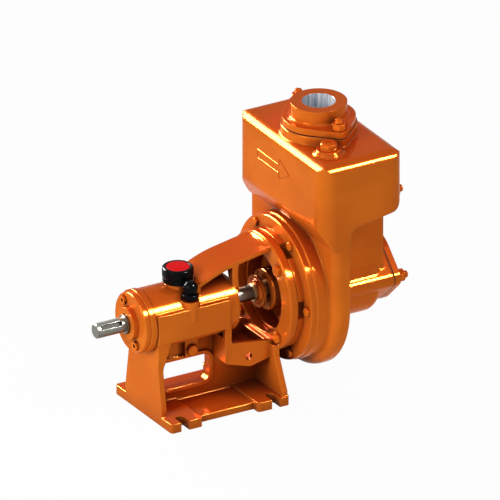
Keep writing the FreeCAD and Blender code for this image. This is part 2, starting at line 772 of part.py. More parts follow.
# The outboard cover closes the housing and holds an oil seal. Two of its screws sit in open notches.
cover_start = s.bracket_start - s.cover_rim_thick
boss_start = cover_start - s.cover_boss_thick
seal_pocket = boss_start + 3 + s.seal_width
cover_blank = turned("outboard_cover_blank", [
    (boss_start, s.bearing_bore + 1),
    (boss_start, s.cover_boss_radius),
    (cover_start, s.cover_boss_radius),
    (cover_start, s.cover_radius - 1.5),
    (cover_start + 1.5, s.cover_radius),
    (s.bracket_start, s.cover_radius),
    (s.bracket_start, s.bearing_outer - s.fit_gap),
    (outboard_bearing_start, s.bearing_outer - s.fit_gap),
    (outboard_bearing_start, s.cover_bore),
    (boss_start + 3, s.cover_bore),
    (boss_start + 3, s.bearing_bore + 1),
], z=axis)
notches = []
outboard_screws = []
for index, (y, z) in enumerate(outboard_screw_places):
    notches.append(rod(f"notch_{index}", "X", cover_start - 1, y, z, s.screw_medium * 2, s.cover_rim_thick / 2))
    notches.append(rod(f"cover_hole_{index}", "X", cover_start - 1, y, z, s.screw_medium + s.running_gap,
                       s.cover_rim_thick + 2))
    outboard_screws.append(bolt(f"outboard_screw_{index}", "X", cover_start - 1 + s.cover_rim_thick / 2, y, z,
                                s.screw_medium, s.bearing_width + s.cover_rim_thick / 2, socket=True))
node("outboard_bearing_cover", cut("outboard_cover", cover_blank, *notches))
node("outboard_cover_screws", group("outboard_screws", outboard_screws))
seal_section = [
    (boss_start + 3, s.bearing_bore + s.running_gap),
    (boss_start + 3, s.cover_bore),
    (seal_pocket, s.cover_bore),
    (seal_pocket, s.cover_bore - 2),
    (seal_pocket - 4, s.cover_bore - 2),
    (seal_pocket - 4, s.bearing_bore + s.running_gap),
]
node("outboard_oil_seal", turned("outboard_seal", seal_section, z=axis))

# The inboard cover is a plain ring with a seal, screwed to the pump end of the housing.
inner_cover_end = housing_end + s.wall / 2 + 1
node("inboard_oil_seal", turned("inboard_seal", [
    (housing_end - 1, s.bearing_bore + s.running_gap),
    (housing_end - 1, s.cover_bore),
    (inner_cover_end, s.cover_bore),
    (inner_cover_end, s.bearing_bore + s.running_gap),
], z=axis))
inner_cover_blank = turned("inboard_cover_blank", [
    (housing_end - 2, s.cover_bore),
    (housing_end - 2, s.bearing_outer - s.fit_gap),
    (housing_end, s.bearing_outer - s.fit_gap),
    (housing_end, s.cover_screw_circle + s.screw_small + 2),
    (inner_cover_end, s.cover_screw_circle + s.screw_small + 2),
    (inner_cover_end, s.cover_bore),
], z=axis)
inner_trim = block("inboard_cover_trim", (housing_end - s.wall, housing_end + s.wall),
                   (-s.housing_radius, s.housing_radius),
                   (axis + s.housing_radius * 0.6 - s.fit_gap, axis + s.housing_radius))
inboard_screws = []
inner_holes = []
for index, (y, z) in enumerate(inboard_screw_places):
    inner_holes.append(rod(f"inner_cover_hole_{index}", "X", housing_end - 1, y, z,
                           s.screw_small + s.running_gap, s.wall))
    inboard_screws.append(bolt(f"inboard_screw_{index}", "-X", inner_cover_end, y, z, s.screw_small,
                               s.bearing_width - 1))
node("inboard_bearing_cover", cut("inboard_cover", inner_cover_blank, inner_trim, *inner_holes))
node("inboard_cover_screws", group("inboard_screws", inboard_screws))

# The casing cover is one turned plate: a hub for the lantern flange with six scallops for the bolts,
# a plate that closes the casing, a spigot that centres it and a chamber for the shaft seal.
hub_end = flange_end + s.cover_hub_thick
plate_end = hub_end + s.cover_plate_thick
casing_face = plate_end + s.gasket_thick
spigot_end = plate_end + s.cover_spigot_length
casing_cover_blank = turned("casing_cover_blank", [
    (flange_end, s.seal_chamber_radius),
    (flange_end, s.seal_plate_radius),
    (plate_end + 4, s.seal_plate_radius + 1),
    (plate_end + 4, s.lantern_bore_radius - 6),
    (flange_end, s.lantern_bore_radius - 4),
    (flange_end, s.lantern_flange_radius - 1),
    (flange_end + 1, s.lantern_flange_radius),
    (hub_end, s.lantern_flange_radius),
    (hub_end, s.cover_plate_radius - 1.5),
    (hub_end + 1.5, s.cover_plate_radius),
    (plate_end, s.cover_plate_radius),
    (plate_end, s.cover_spigot_radius - s.fit_gap),
    (spigot_end, s.cover_spigot_radius - s.fit_gap),
    (spigot_end, s.seal_chamber_radius),
], z=axis)
cover_bolt_places = ring_places(6, s.cover_bolt_circle, 0)
scallops = []
cover_bolts = []
casing_holes = []
for index, (y, z) in enumerate(cover_bolt_places):
    scallops.append(rod(f"scallop_{index}", "X", flange_end - 1, y, z, s.scallop_radius, s.cover_hub_thick + 1))
    scallops.append(rod(f"cover_bolt_hole_{index}", "X", hub_end - 1, y, z,
                        s.screw_medium + s.running_gap, s.cover_plate_thick + 2))
    cover_bolts.append(bolt(f"cover_bolt_{index}", "X", hub_end, y, z, s.screw_medium,
                            s.cover_plate_thick + s.gasket_thick + s.casing_ring_length - s.wall))
    casing_holes.append(rod(f"casing_bolt_hole_{index}", "X", casing_face - 1, y, z,
                            s.screw_medium + s.running_gap, s.casing_ring_length - s.wall + 2))
lantern_bolts = []
for index, (y, z) in enumerate(lantern_bolt_places):
    scallops.append(rod(f"lantern_thread_{index}", "X", flange_end - 1, y, z, s.screw_large + s.running_gap,
                        s.cover_hub_thick + s.cover_plate_thick - 2))
    lantern_bolts.append(bolt(f"lantern_bolt_{index}", "X", flange_start, y, z, s.screw_large,
                              s.lantern_flange_thick + s.cover_hub_thick + s.cover_plate_thick - 5))
seal_plate_start = flange_end - s.seal_plate_thick
seal_screw_circle = (s.seal_plate_radius + s.seal_chamber_radius) / 2
seal_screws = []
seal_holes = []
for index, (y, z) in enumerate(ring_places(4, seal_screw_circle, 45)):
    seal_screws.append(bolt(f"seal_screw_{index}", "X", seal_plate_start, y, z, s.screw_small / 2,
                            s.seal_plate_thick + s.wall))
    seal_holes.append(rod(f"seal_hole_{index}", "X", seal_plate_start - 1, y, z,
                          s.screw_small / 2 + s.running_gap, s.seal_plate_thick + s.wall + 2))
seal_hole_set = fuse("seal_hole_set", *seal_holes)
node("casing_cover", cut("casing_cover_plate", casing_cover_blank, *scallops, seal_hole_set))
node("lantern_bolts", group("lantern_bolt_set", lantern_bolts))
node("cover_bolts", group("cover_bolt_set", cover_bolts))
cover_gasket_blank = turned("cover_gasket_blank", [
    (plate_end, s.cover_spigot_radius),
    (plate_end, s.cover_plate_radius),
    (casing_face, s.cover_plate_radius),
    (casing_face, s.cover_spigot_radius),
], z=axis)
gasket_holes = fuse("gasket_holes", *[
    rod(f"gasket_hole_{index}", "X", plate_end - 1, y, z, s.screw_medium + s.running_gap, s.gasket_thick + 2)
    for index, (y, z) in enumerate(cover_bolt_places)
])
node("cover_gasket", cut("cover_gasket_ring", cover_gasket_blank, gasket_holes))

# A mechanical seal closes the shaft: a plate holds the still ring, and a bellows on the shaft sleeve
# presses the turning ring on it. A deflector on the sleeve throws off drips in the lantern.
seat_depth = s.seal_plate_thick / 2
sleeve_outer = s.sleeve_radius + s.running_gap
node("seal_plate", cut("seal_plate_body", turned("seal_plate_blank", [
    (seal_plate_start, s.sleeve_radius + 3),
    (seal_plate_start, s.seal_plate_radius - 1.5),
    (seal_plate_start + 1.5, s.seal_plate_radius),
    (flange_end, s.seal_plate_radius),
    (flange_end, s.cover_bore),
    (flange_end - seat_depth, s.cover_bore),
    (flange_end - seat_depth, s.sleeve_radius + 3),
], z=axis), seal_hole_set))
node("seal_plate_screws", group("seal_screw_set", seal_screws))
still_ring_end = flange_end + 3
node("seal_still_ring", turned("still_ring", [
    (flange_end - seat_depth, s.sleeve_radius + 1),
    (flange_end - seat_depth, s.cover_bore - s.running_gap),
    (still_ring_end, s.cover_bore - s.running_gap),
    (still_ring_end, s.sleeve_radius + 1),
], z=axis))
turning_ring_end = still_ring_end + s.seal_width
bellows_end = turning_ring_end + s.seal_chamber_radius
node("seal_turning_ring", turned("turning_ring", [
    (still_ring_end + s.running_gap, sleeve_outer),
    (still_ring_end + s.running_gap, s.cover_bore - 2),
    (turning_ring_end, s.cover_bore - 2),
    (turning_ring_end, sleeve_outer),
], z=axis))
bellows_steps = [(turning_ring_end, sleeve_outer), (turning_ring_end, s.sleeve_radius + 5)]
fold = (bellows_end - turning_ring_end) / 6
for index in range(3):
    bellows_steps.append((turning_ring_end + fold * (2 * index + 1), s.sleeve_radius + 3))
    bellows_steps.append((turning_ring_end + fold * (2 * index + 2), s.sleeve_radius + 6))
bellows_steps.append((bellows_end, sleeve_outer))
node("seal_bellows", turned("bellows", bellows_steps, z=axis))
sleeve_start = seal_plate_start - s.cover_bore
node("shaft_sleeve", turned("sleeve", [
    (sleeve_start, s.shaft_radius + s.running_gap),
    (sleeve_start, s.sleeve_radius),
    (impeller_seat_start, s.sleeve_radius),
    (impeller_seat_start, s.shaft_radius + s.running_gap),
], z=axis))
deflector_start = sleeve_start + s.deflector_thick
node("deflector_ring", turned("deflector", [
    (deflector_start, sleeve_outer),
    (deflector_start, s.sleeve_radius + 4),
    (deflector_start + s.deflector_thick, s.sleeve_radius + 6),
    (deflector_start + s.deflector_thick, s.deflector_radius),
    (deflector_start + s.deflector_thick * 2, s.deflector_radius),
    (deflector_start + s.deflector_thick * 2, sleeve_outer),
], z=axis))

# The impeller is closed: a hub and back shroud, six backward-curved vanes and a front shroud whose
# collar runs in the wear ring.
back_start = spigot_end + 2
vane_start = back_start + s.shroud_thick
vane_end = vane_start + s.vane_height
front_end = vane_end + s.shroud_thick
volute_start = casing_face + s.casing_ring_length
volute_end = volute_start + s.volute_thick
volute_wall = volute_end - s.wall
collar_end = volute_end - 1
hub_radius = s.impeller_seat_radius * 1.7
back_shroud = turned("back_shroud", [
    (impeller_seat_start, s.impeller_seat_radius),
    (impeller_seat_start, hub_radius),
    (back_start, hub_radius),
    (back_start, s.impeller_radius),
    (vane_start, s.impeller_radius),
    (vane_start + 1.5, s.impeller_eye_radius),
    (vane_end, hub_radius * 1.2),
    (impeller_hub_end, hub_radius),
    (impeller_hub_end, s.impeller_seat_radius),
], z=axis)
front_shroud = turned("front_shroud", [
    (vane_end, s.impeller_radius),
    (front_end, s.impeller_radius),
    (front_end + 2, s.impeller_eye_radius + 8),
    (front_end + 3.5, s.impeller_eye_radius),
    (collar_end, s.impeller_eye_radius),
    (collar_end, s.impeller_eye_radius - s.shroud_thick - 1),
    (front_end, s.impeller_eye_radius - s.shroud_thick - 1),
    (vane_end + 1, s.impeller_eye_radius + 8),
], z=axis)


def vane_side(lean):
    """One side of a vane: its radius grows evenly while it sweeps back, shifted by half a thickness."""
    points = []
    steps = 6
    for step in range(steps + 1):
        share = step / steps
        radius = hub_radius.value * 1.7 + share * (s.impeller_radius.value - hub_radius.value * 1.7)
        angle = math.radians(105) * share ** 0.8 + lean * s.vane_thick.value / 2 / radius
        points.append(Vector(0, radius * math.cos(angle), radius * math.sin(angle)))
    return points


def vane_shapes():
    """The vanes: each is the space between two spiral sides, carried along the shaft."""
    inner = vane_side(-1)
    outer = vane_side(1)
    low = Part.BSplineCurve()
    low.interpolate(inner)
    high = Part.BSplineCurve()
    high.interpolate(outer)
    edges = [
        low.toShape(),
        Part.LineSegment(inner[-1], outer[-1]).toShape(),
        high.toShape(),
        Part.LineSegment(outer[0], inner[0]).toShape(),
    ]
    face = Part.Face(Part.Wire(Part.__sortEdges__(edges)))
    vane = face.extrude(Vector(s.vane_height.value + 1.5, 0, 0))
    vanes = []
    count = int(s.vane_count.value)
    for index in range(count):
        turned_vane = vane.copy()
        turned_vane.rotate(Vector(), Vector(1, 0, 0), 360 * index / count)
        turned_vane.translate(Vector(vane_start.value - 0.5, 0, s.axis_height.value))
        vanes.append(turned_vane)
    return vanes


vane_pieces = [made(f"vane_{index}", shape) for index, shape in enumerate(vane_shapes())]
impeller_body = fuse("impeller_body", back_shroud, front_shroud, *vane_pieces)
impeller_way = block("impeller_way", (impeller_seat_start - 1, impeller_hub_end + 1),
                     (-small_key_width / 2, small_key_width / 2), (axis, small_key_top))
node("impeller", cut("impeller_wheel", impeller_body, impeller_way))
nut_blank = hexagon("impeller_nut_hex", "X", impeller_hub_end, 0, axis, s.shaft_thread_radius * 3,
                    s.shaft_thread_radius * 1.6)
nut_hole = rod("impeller_nut_hole", "X", impeller_hub_end - 1, 0, axis, s.shaft_thread_radius + s.running_gap,
               s.shaft_thread_radius * 3)
node("impeller_nut", cut("impeller_nut_body", nut_blank, nut_hole))
wear_inner = s.impeller_eye_radius + s.fit_gap
wear_outer = wear_inner + s.wear_ring_thick
node("wear_ring", turned("wear_ring_body", [
    (volute_wall, wear_inner),
    (volute_wall, wear_outer),
    (volute_end, wear_outer),
    (volute_end, wear_inner),
], z=axis))


def rhombus(centre, radius, reach, upright=False):
    """The outline of an oval flange: a middle circle and two ears, joined by lines that touch them."""
    lean = (radius - s.lug_radius) / s.lug_centre
    across = radius / lean
    along = radius / (1 - lean * lean).root()
    u, v = centre
    if upright:
        return [(u + along, v, radius), (u, v + across, reach), (u - along, v, radius), (u, v - across, reach)]
    return [(u + across, v, reach), (u, v + along, radius), (u - across, v, reach), (u, v - along, radius)]


# The pump casing is one iron casting: a ring that takes the cover, the volute, the separating tank on
# top of it, and behind it the suction chamber with the non-return flap and the inspection opening.
tank_end = s.tank_start + s.tank_length
half_tank = s.volute_radius
nozzle_end = tank_end + s.nozzle_length
casing_ring = turned("casing_ring", [
    (casing_face, 0),
    (casing_face, s.casing_ring_radius - 1.5),
    (casing_face + 1.5, s.casing_ring_radius),
    (volute_start + s.volute_edge, s.casing_ring_radius),
    (volute_start + s.volute_edge, 0),
], z=axis)
volute_bowl = turned("volute_bowl", [
    (volute_start, 0),
    (volute_start, half_tank, s.volute_edge),
    (volute_end, half_tank, s.volute_edge / 4),
    (volute_end, 0),
], z=axis)
volute_neck = slab("volute_neck", "XY", axis, s.tank_front_low + s.tank_corner, [
    (volute_start, -half_tank, s.volute_edge),
    (volute_end, -half_tank, s.volute_edge / 4),
    (volute_end, half_tank, s.volute_edge / 4),
    (volute_start, half_tank, s.volute_edge),
])
tank_side = slab("tank_side", "XZ", -half_tank, half_tank, [
    (s.tank_start, s.tank_front_low, s.tank_corner),
    (volute_start + 1, s.tank_slope_low),
    (volute_end, s.tank_slope_low),
    (volute_end, s.tank_front_low - s.tank_fall / 3, s.tank_corner * 0.65),
    (tank_end, s.tank_front_low + s.tank_fall, s.tank_corner),
    (tank_end, s.tank_top, s.tank_top_edge),
    (s.tank_start, s.tank_top, s.tank_top_edge),
])
tank_plan = slab("tank_plan", "XY", axis, s.tank_top + 1, [
    (s.tank_start, -half_tank, s.tank_corner),
    (tank_end, -half_tank, s.tank_corner),
    (tank_end, half_tank, s.tank_corner),
    (s.tank_start, half_tank, s.tank_corner),
])
tank_front = slab("tank_front", "YZ", s.tank_start - 1, tank_end + 1, [
    (-half_tank, axis),
    (half_tank, axis),
    (half_tank, s.tank_top, s.tank_top_edge),
    (-half_tank, s.tank_top, s.tank_top_edge),
])
tank = common("tank", tank_side, tank_plan, tank_front)
chamber_block = block("chamber_block", (volute_end - 1, tank_end),
                      (-s.chamber_half_width, s.chamber_half_width), (axis, s.chamber_roof))
chamber_drum = turned("chamber_drum", [
    (volute_end - 1, 0),
    (volute_end - 1, s.chamber_radius),
    (tank_end, s.chamber_radius, s.tank_top_edge),
    (tank_end, 0),
], z=axis)
flange_middle = Size(0, "0")
nozzle = slab("nozzle", "YZ", volute_end - 1, nozzle_end,
              rhombus((flange_middle, axis), s.nozzle_radius, s.lug_radius))
suction_pad = slab("suction_pad", "YZ", tank_end - s.tank_corner, tank_end + s.suction_pad,
                   rhombus((flange_middle, s.suction_centre), s.nozzle_radius, s.lug_radius))
discharge_pad = slab("discharge_pad", "XY", s.tank_top - 1, s.tank_top + s.discharge_pad,
                     rhombus((s.discharge_centre, flange_middle), s.nozzle_radius + s.pad_margin,
                             s.lug_radius + s.pad_margin, upright=True))
discharge_seat = s.tank_top + s.discharge_pad
plug_seat = s.tank_top + s.plug_boss_height
plug_y = s.plug_inset - half_tank
plug_boss = turned("plug_boss", [
    (s.tank_top - 1, 0),
    (s.tank_top - 1, s.plug_boss_radius),
    (s.tank_top + 2, s.plug_boss_radius),
    (plug_seat, s.plug_boss_radius - 3),
    (plug_seat, 0),
], upright=True, x=s.plug_centre_x, y=plug_y)

# Inside, the wheel turns in a round chamber with a scroll about it. The scroll opens into the tank at
# its wide end, and the tank's floor follows its outside.
wheel_space = rod("wheel_space", "X", casing_face - 1, 0, axis, s.cover_spigot_radius,
                  volute_wall - casing_face + 1)
scroll_start = volute_wall - s.volute_space
scroll_low = s.cover_spigot_radius + 2
scroll_high = half_tank - s.wall - 2


def scroll_shape():
    """The scroll: a spiral that widens evenly through one turn, closed by its throat."""
    points = []
    steps = 12
    for step in range(steps + 1):
        share = step / steps
        radius = scroll_low.value + share * (scroll_high.value - scroll_low.value)
        angle = 2 * math.pi * share
        points.append(Vector(0, radius * math.cos(angle), radius * math.sin(angle)))
    spiral = Part.BSplineCurve()
    spiral.interpolate(points)
    edges = [spiral.toShape(), Part.LineSegment(points[-1], points[0]).toShape()]
    shape = Part.Face(Part.Wire(edges)).extrude(Vector(s.volute_space.value, 0, 0))
    shape.translate(Vector(scroll_start.value, 0, s.axis_height.value))
    return shape


scroll = made("scroll", scroll_shape())
tank_floor = s.tank_front_low + s.wall
throat = block("throat", (scroll_start, volute_wall), (scroll_low - 2, scroll_high), (axis, tank_floor + 2))
tank_space = slab("tank_space", "XZ", -half_tank + s.wall, half_tank - s.wall, [
    (s.tank_start + s.wall, tank_floor),
    (volute_end, tank_floor),
    (tank_end - s.wall, tank_floor + s.tank_fall, s.tank_corner * 0.6),
    (tank_end - s.wall, s.tank_top - s.wall),
    (s.tank_start + s.wall, s.tank_top - s.wall),
])
tank_space_plan = slab("tank_space_plan", "XY", axis, s.tank_top, [
    (s.tank_start + s.wall, -half_tank + s.wall, s.tank_corner - s.wall),
    (tank_end - s.wall, -half_tank + s.wall, s.tank_corner - s.wall),
    (tank_end - s.wall, half_tank - s.wall, s.tank_corner - s.wall),
    (s.tank_start + s.wall, half_tank - s.wall, s.tank_corner - s.wall),
])
tank_hollow = cut("tank_hollow", common("tank_inside", tank_space, tank_space_plan), chamber_block)
chamber_start = volute_end + s.wall
chamber_back = tank_end - s.wall
chamber_hollow = block("chamber_hollow", (chamber_start, chamber_back),
                       (-s.chamber_half_width + s.wall, s.chamber_half_width - s.wall),
                       (axis, s.chamber_roof - s.wall))
drum_hollow = rod("drum_hollow", "X", chamber_start, 0, axis, s.chamber_radius - s.wall, chamber_back - chamber_start)
eye_hole = rod("eye_hole", "X", volute_wall - 1, 0, axis, wear_outer, chamber_start - volute_wall + 2)
inspection_hole = rod("inspection_hole", "X", chamber_back - 1, 0, axis, s.inspection_bore,
                      nozzle_end - chamber_back + 2)
suction_hole = rod("suction_hole", "X", chamber_back - 1, 0, s.suction_centre, s.port_radius,
                   s.wall + s.suction_pad + 2)
discharge_hole = rod("discharge_hole", "Z", s.discharge_centre, 0, s.tank_top - s.wall - 1, s.port_radius,
                     s.wall + s.discharge_pad + 2)
plug_hole = rod("plug_hole", "Z", s.plug_centre_x, plug_y, s.tank_top - s.wall - 1,
                s.plug_thread_radius, s.wall + s.plug_boss_height + 2)

# Each oval flange is held by two studs with a nut each, on a gasket.
nut_height = s.stud_radius * 1.8
flange_sets = {
    "discharge": ("Z", discharge_seat),
    "suction": ("X", tank_end + s.suction_pad),
    "inspection": ("X", nozzle_end),
}
stud_holes = []
for port, (way, seat) in flange_sets.items():
    plane = "XY" if way == "Z" else "YZ"
    upright = way == "Z"
    centre = {"discharge": (s.discharge_centre, flange_middle), "suction": (flange_middle, s.suction_centre),
              "inspection": (flange_middle, axis)}[port]
    gasket_end = seat + s.gasket_thick
    plate_top = gasket_end + s.port_plate_thick
    outline = rhombus(centre, s.nozzle_radius, s.lug_radius, upright)
    studs = []
    nuts = []
    holes = []
    for side in (-1, 1):
        ear = side * s.lug_centre
        spot = (s.discharge_centre, ear) if upright else (ear, centre[1])
        low = (*spot, seat - s.stud_depth) if upright else (seat - s.stud_depth, *spot)
        top = (*spot, plate_top) if upright else (plate_top, *spot)
        length = s.stud_depth + s.gasket_thick + s.port_plate_thick + nut_height + s.stud_over
        studs.append(rod(f"{port}_stud_{side + 1}", way, *low, s.stud_radius, length))
        holes.append(rod(f"{port}_stud_hole_{side + 1}", way, *low, s.stud_radius + s.running_gap, length))
        nuts.append(nut(f"{port}_nut_{side + 1}", way, *top, s.stud_radius, nut_height))
    stud_holes.extend(holes)
    base = (centre[0], centre[1], seat - 1) if upright else (seat - 1, centre[0], centre[1])
    bore_radius = s.inspection_bore if port == "inspection" else s.port_radius
    ring_hole = rod(f"{port}_gasket_hole", way, *base, bore_radius, s.gasket_thick + 2)
    gasket = slab(f"{port}_gasket_sheet", plane, seat, gasket_end, outline)
    node(f"{port}_gasket", cut(f"{port}_gasket_ring", gasket, ring_hole, *holes))
    flange = slab(f"{port}_plate", plane, gasket_end, plate_top, outline)
    if port == "inspection":
        dome = rod("inspection_dome", way, plate_top - 1, 0, axis, s.inspection_bore * 0.8, 3)
        node("inspection_cover", cut("inspection_lid", fuse("inspection_disc", flange, dome), *holes))
    else:
        neck_end = s.port_top if upright else plate_top + s.suction_hub
        neck_start = (centre[0], centre[1], gasket_end) if upright else (gasket_end, centre[0], centre[1])
        neck = rod(f"{port}_neck", way, *neck_start, s.port_neck_radius, neck_end - gasket_end)
        bore = rod(f"{port}_bore", way, *base, s.port_radius, neck_end - seat + 2)
        node(f"{port}_flange", cut(f"{port}_flange_body", fuse(f"{port}_flange_blank", flange, neck), bore, *holes))
    node(f"{port}_studs", group(f"{port}_stud_set", studs))
    node(f"{port}_nuts", group(f"{port}_nut_set", nuts))

# The flap hangs from a pin in two lugs behind the suction port and opens into the chamber.
pin_x = chamber_back - s.flap_pin_radius * 2
pin_z = s.suction_centre + s.flap_radius + s.flap_pin_drop
lug_inner = s.lug_radius - 2
flap_lug_reach = s.flap_pin_radius + 2.5
lugs = []
for side, low, high in (("near", -lug_inner - 6, -lug_inner), ("far", lug_inner, lug_inner + 6)):
    lugs.append(block(f"{side}_flap_lug", (pin_x - flap_lug_reach, chamber_back + 1), (low, high),
                      (pin_z - flap_lug_reach, s.chamber_roof - s.wall / 2)))
pin_hole = rod("flap_pin_hole", "Y", pin_x, -lug_inner - 7, pin_z, s.flap_pin_radius + s.running_gap,
               lug_inner * 2 + 14)
node("flap_pin", rod("flap_pin_rod", "Y", pin_x, -lug_inner - 6, pin_z, s.flap_pin_radius, lug_inner * 2 + 12))
flap_face = chamber_back - 0.3
rubber_start = flap_face - 2
flap_start = rubber_start - s.flap_thick
flap_disc = rod("flap_disc", "X", flap_start, 0, s.suction_centre, s.flap_radius, s.flap_thick)
flap_neck = block("flap_neck", (flap_start, rubber_start), (-lug_inner + 4, lug_inner - 4), (s.suction_centre, pin_z))
flap_barrel = rod("flap_barrel", "Y", pin_x, -lug_inner + 0.5, pin_z, s.flap_pin_radius * 1.75, lug_inner * 2 - 1)
node("flap_plate", cut("flap_plate_body", fuse("flap_plate_blank", flap_disc, flap_neck, flap_barrel), pin_hole))
node("flap_rubber", rod("flap_rubber_disc", "X", rubber_start, 0, s.suction_centre, s.flap_radius - 1, 2))

casing_solid = fuse("casing_solid", casing_ring, volute_bowl, volute_neck, tank, chamber_block, chamber_drum,
                    nozzle, suction_pad, discharge_pad, plug_boss)
casing_open = cut("casing_open", casing_solid, wheel_space, scroll, throat, tank_hollow, chamber_hollow,
                  drum_hollow, eye_hole, inspection_hole, suction_hole, discharge_hole, plug_hole,
                  *casing_holes, *stud_holes)
casing_lugs = cut("casing_lugs", fuse("casing_lug_pair", *lugs), pin_hole)
node("pump_casing", fuse("pump_casing_body", casing_open, casing_lugs))

# The priming plug screws into the tank's top. Its seat ring stands on the boss.
plug_top = plug_seat + s.plug_head_height
plug_hex = hexagon("plug_hex", "Z", s.plug_centre_x, plug_y, plug_seat + 2, s.plug_head_radius * 1.85,
                   s.plug_head_height)
plug_dome = turned("plug_dome", [
    (plug_seat, 0),
    (plug_seat, s.plug_head_radius * 1.1),
    (plug_top - 4, s.plug_head_radius * 1.1),
    (plug_top, s.plug_head_radius * 0.65),
    (plug_top, 0),
], upright=True, x=s.plug_centre_x, y=plug_y)
plug_parts = [
    rod("plug_thread", "Z", s.plug_centre_x, plug_y, plug_seat - s.wall - 3,
        s.plug_thread_radius - s.running_gap, s.wall + 4),
    rod("plug_collar", "Z", s.plug_centre_x, plug_y, plug_seat, s.plug_head_radius + 1.5, 2.5),
    common("plug_head", plug_hex, plug_dome),
]
node("priming_plug", fuse("priming_plug_body", *plug_parts))

# The oil filler stands on the housing: a cup with a lift-off cap, and beside it the breather elbow.
cup_seat = axis + s.housing_radius + s.cup_boss_rise
cap_seat = cup_seat + s.oil_cup_height
cup_parts = [
    rod("cup_stem", "Z", s.oil_cup_x, 0, cup_seat - s.wall, s.oil_cup_radius * 0.4 - s.running_gap, s.wall + 1),
    rod("cup_body", "Z", s.oil_cup_x, 0, cup_seat, s.oil_cup_radius - 0.5, s.oil_cup_height),
]
cup_space = rod("cup_space", "Z", s.oil_cup_x, 0, cup_seat - s.wall - 1, s.oil_cup_radius * 0.3,
                s.oil_cup_height + s.wall + 2)
node("oil_cup", cut("oil_cup_body", fuse("oil_cup_blank", *cup_parts), cup_space))
disc_radius = s.oil_cup_radius * 0.75
node("oil_cup_cap", turned("cap", [
    (cap_seat, 0),
    (cap_seat, s.oil_cup_radius - 1),
    (cap_seat + 1, s.oil_cup_radius),
    (cap_seat + s.oil_cap_height - 1.5, s.oil_cup_radius),
    (cap_seat + s.oil_cap_height, s.oil_cup_radius - 1.5),
    (cap_seat + s.oil_cap_height, disc_radius + s.fit_gap),
    (cap_seat + s.oil_cap_height - 1.5, disc_radius + s.fit_gap),
    (cap_seat + s.oil_cap_height - 1.5, 0),
], upright=True, x=s.oil_cup_x))
node("cap_disc", rod("cap_disc_plate", "Z", s.oil_cup_x, 0, cap_seat + s.oil_cap_height - 1.5, disc_radius, 1.2))
elbow_seat = axis + s.housing_radius - s.elbow_bulb_radius - 1.5
bulb_z = elbow_seat + s.elbow_bulb_radius + s.elbow_nut_height
elbow_parts = [
    rod("elbow_stem", "Z", s.oil_cup_x, -s.elbow_reach, elbow_seat - s.wall,
        s.elbow_bulb_radius / 2 - s.running_gap, s.wall + s.elbow_nut_height + 3),
    rod("elbow_foot", "Z", s.oil_cup_x, -s.elbow_reach, elbow_seat, s.elbow_bulb_radius * 0.8,
        s.elbow_nut_height + 2),
    ball("elbow_bulb", s.oil_cup_x, -s.elbow_reach, bulb_z, s.elbow_bulb_radius),
    rod("elbow_tube", "Y", s.oil_cup_x, -s.elbow_reach, cap_seat - s.elbow_tube_radius, s.elbow_tube_radius,
        s.elbow_reach - s.oil_cup_radius),
]
elbow_trim = rod("elbow_trim", "Z", s.oil_cup_x, 0, cup_seat - s.housing_radius,
                 s.oil_cup_radius - 0.5 + s.running_gap, s.housing_radius * 2)
node("breather_elbow", cut("breather_elbow_body", fuse("breather_elbow_blank", *elbow_parts), elbow_trim))
drain_face = -s.slot_width
drain_parts = [
    rod("drain_thread", "Y", s.drain_x, drain_face, drain_z, s.stud_radius - s.running_gap, s.wall),
    rod("drain_collar", "-Y", s.drain_x, drain_face, drain_z, s.stud_radius * 1.6, 1.5),
    hexagon("drain_hex", "-Y", s.drain_x, drain_face, drain_z, s.stud_radius * 2.7, 7),
]
node("oil_drain_plug", fuse("oil_drain_plug_body", *drain_parts))

doc.recompute()
for item in doc.Objects:
    if "Invalid" in item.State or "Error" in item.State:
        raise RuntimeError(f"{item.Label} failed to build")
os.makedirs("parts", exist_ok=True)
for name, item in nodes.items():
    shape = item.Shape
    if shape.isNull() or not shape.isValid() or not shape.Solids:
        raise RuntimeError(f"{name} is not a sound solid")
    shape.exportStep(f"parts/{name}.step")
print(f"{len(nodes)} pieces written")
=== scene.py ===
import math

import bmesh
import bpy
import numpy as np
from mathutils import Matrix, Vector


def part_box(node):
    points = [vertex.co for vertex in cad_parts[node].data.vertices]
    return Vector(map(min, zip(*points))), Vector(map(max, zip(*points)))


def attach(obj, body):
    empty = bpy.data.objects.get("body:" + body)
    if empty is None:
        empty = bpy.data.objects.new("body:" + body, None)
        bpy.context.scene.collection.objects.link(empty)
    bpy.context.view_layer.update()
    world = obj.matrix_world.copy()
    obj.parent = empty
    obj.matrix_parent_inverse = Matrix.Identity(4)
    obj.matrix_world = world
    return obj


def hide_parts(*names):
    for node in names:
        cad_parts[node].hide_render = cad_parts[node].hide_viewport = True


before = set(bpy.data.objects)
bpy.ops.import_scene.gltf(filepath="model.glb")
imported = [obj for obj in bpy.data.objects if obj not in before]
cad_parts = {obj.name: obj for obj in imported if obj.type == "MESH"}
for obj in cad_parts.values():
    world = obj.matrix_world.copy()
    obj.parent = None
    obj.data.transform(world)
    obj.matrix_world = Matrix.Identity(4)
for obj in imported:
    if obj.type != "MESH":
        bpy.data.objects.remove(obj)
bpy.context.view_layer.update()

# The pump stands in an empty white studio with three soft lamps. One lights it from beyond the drive
# end. The other two show only in the gloss, where they draw bright lines along the casting's edges.
scene = bpy.context.scene
scene.view_settings.view_transform = "Standard"
pump_middle = Vector((0.08, 0.0, 0.22))


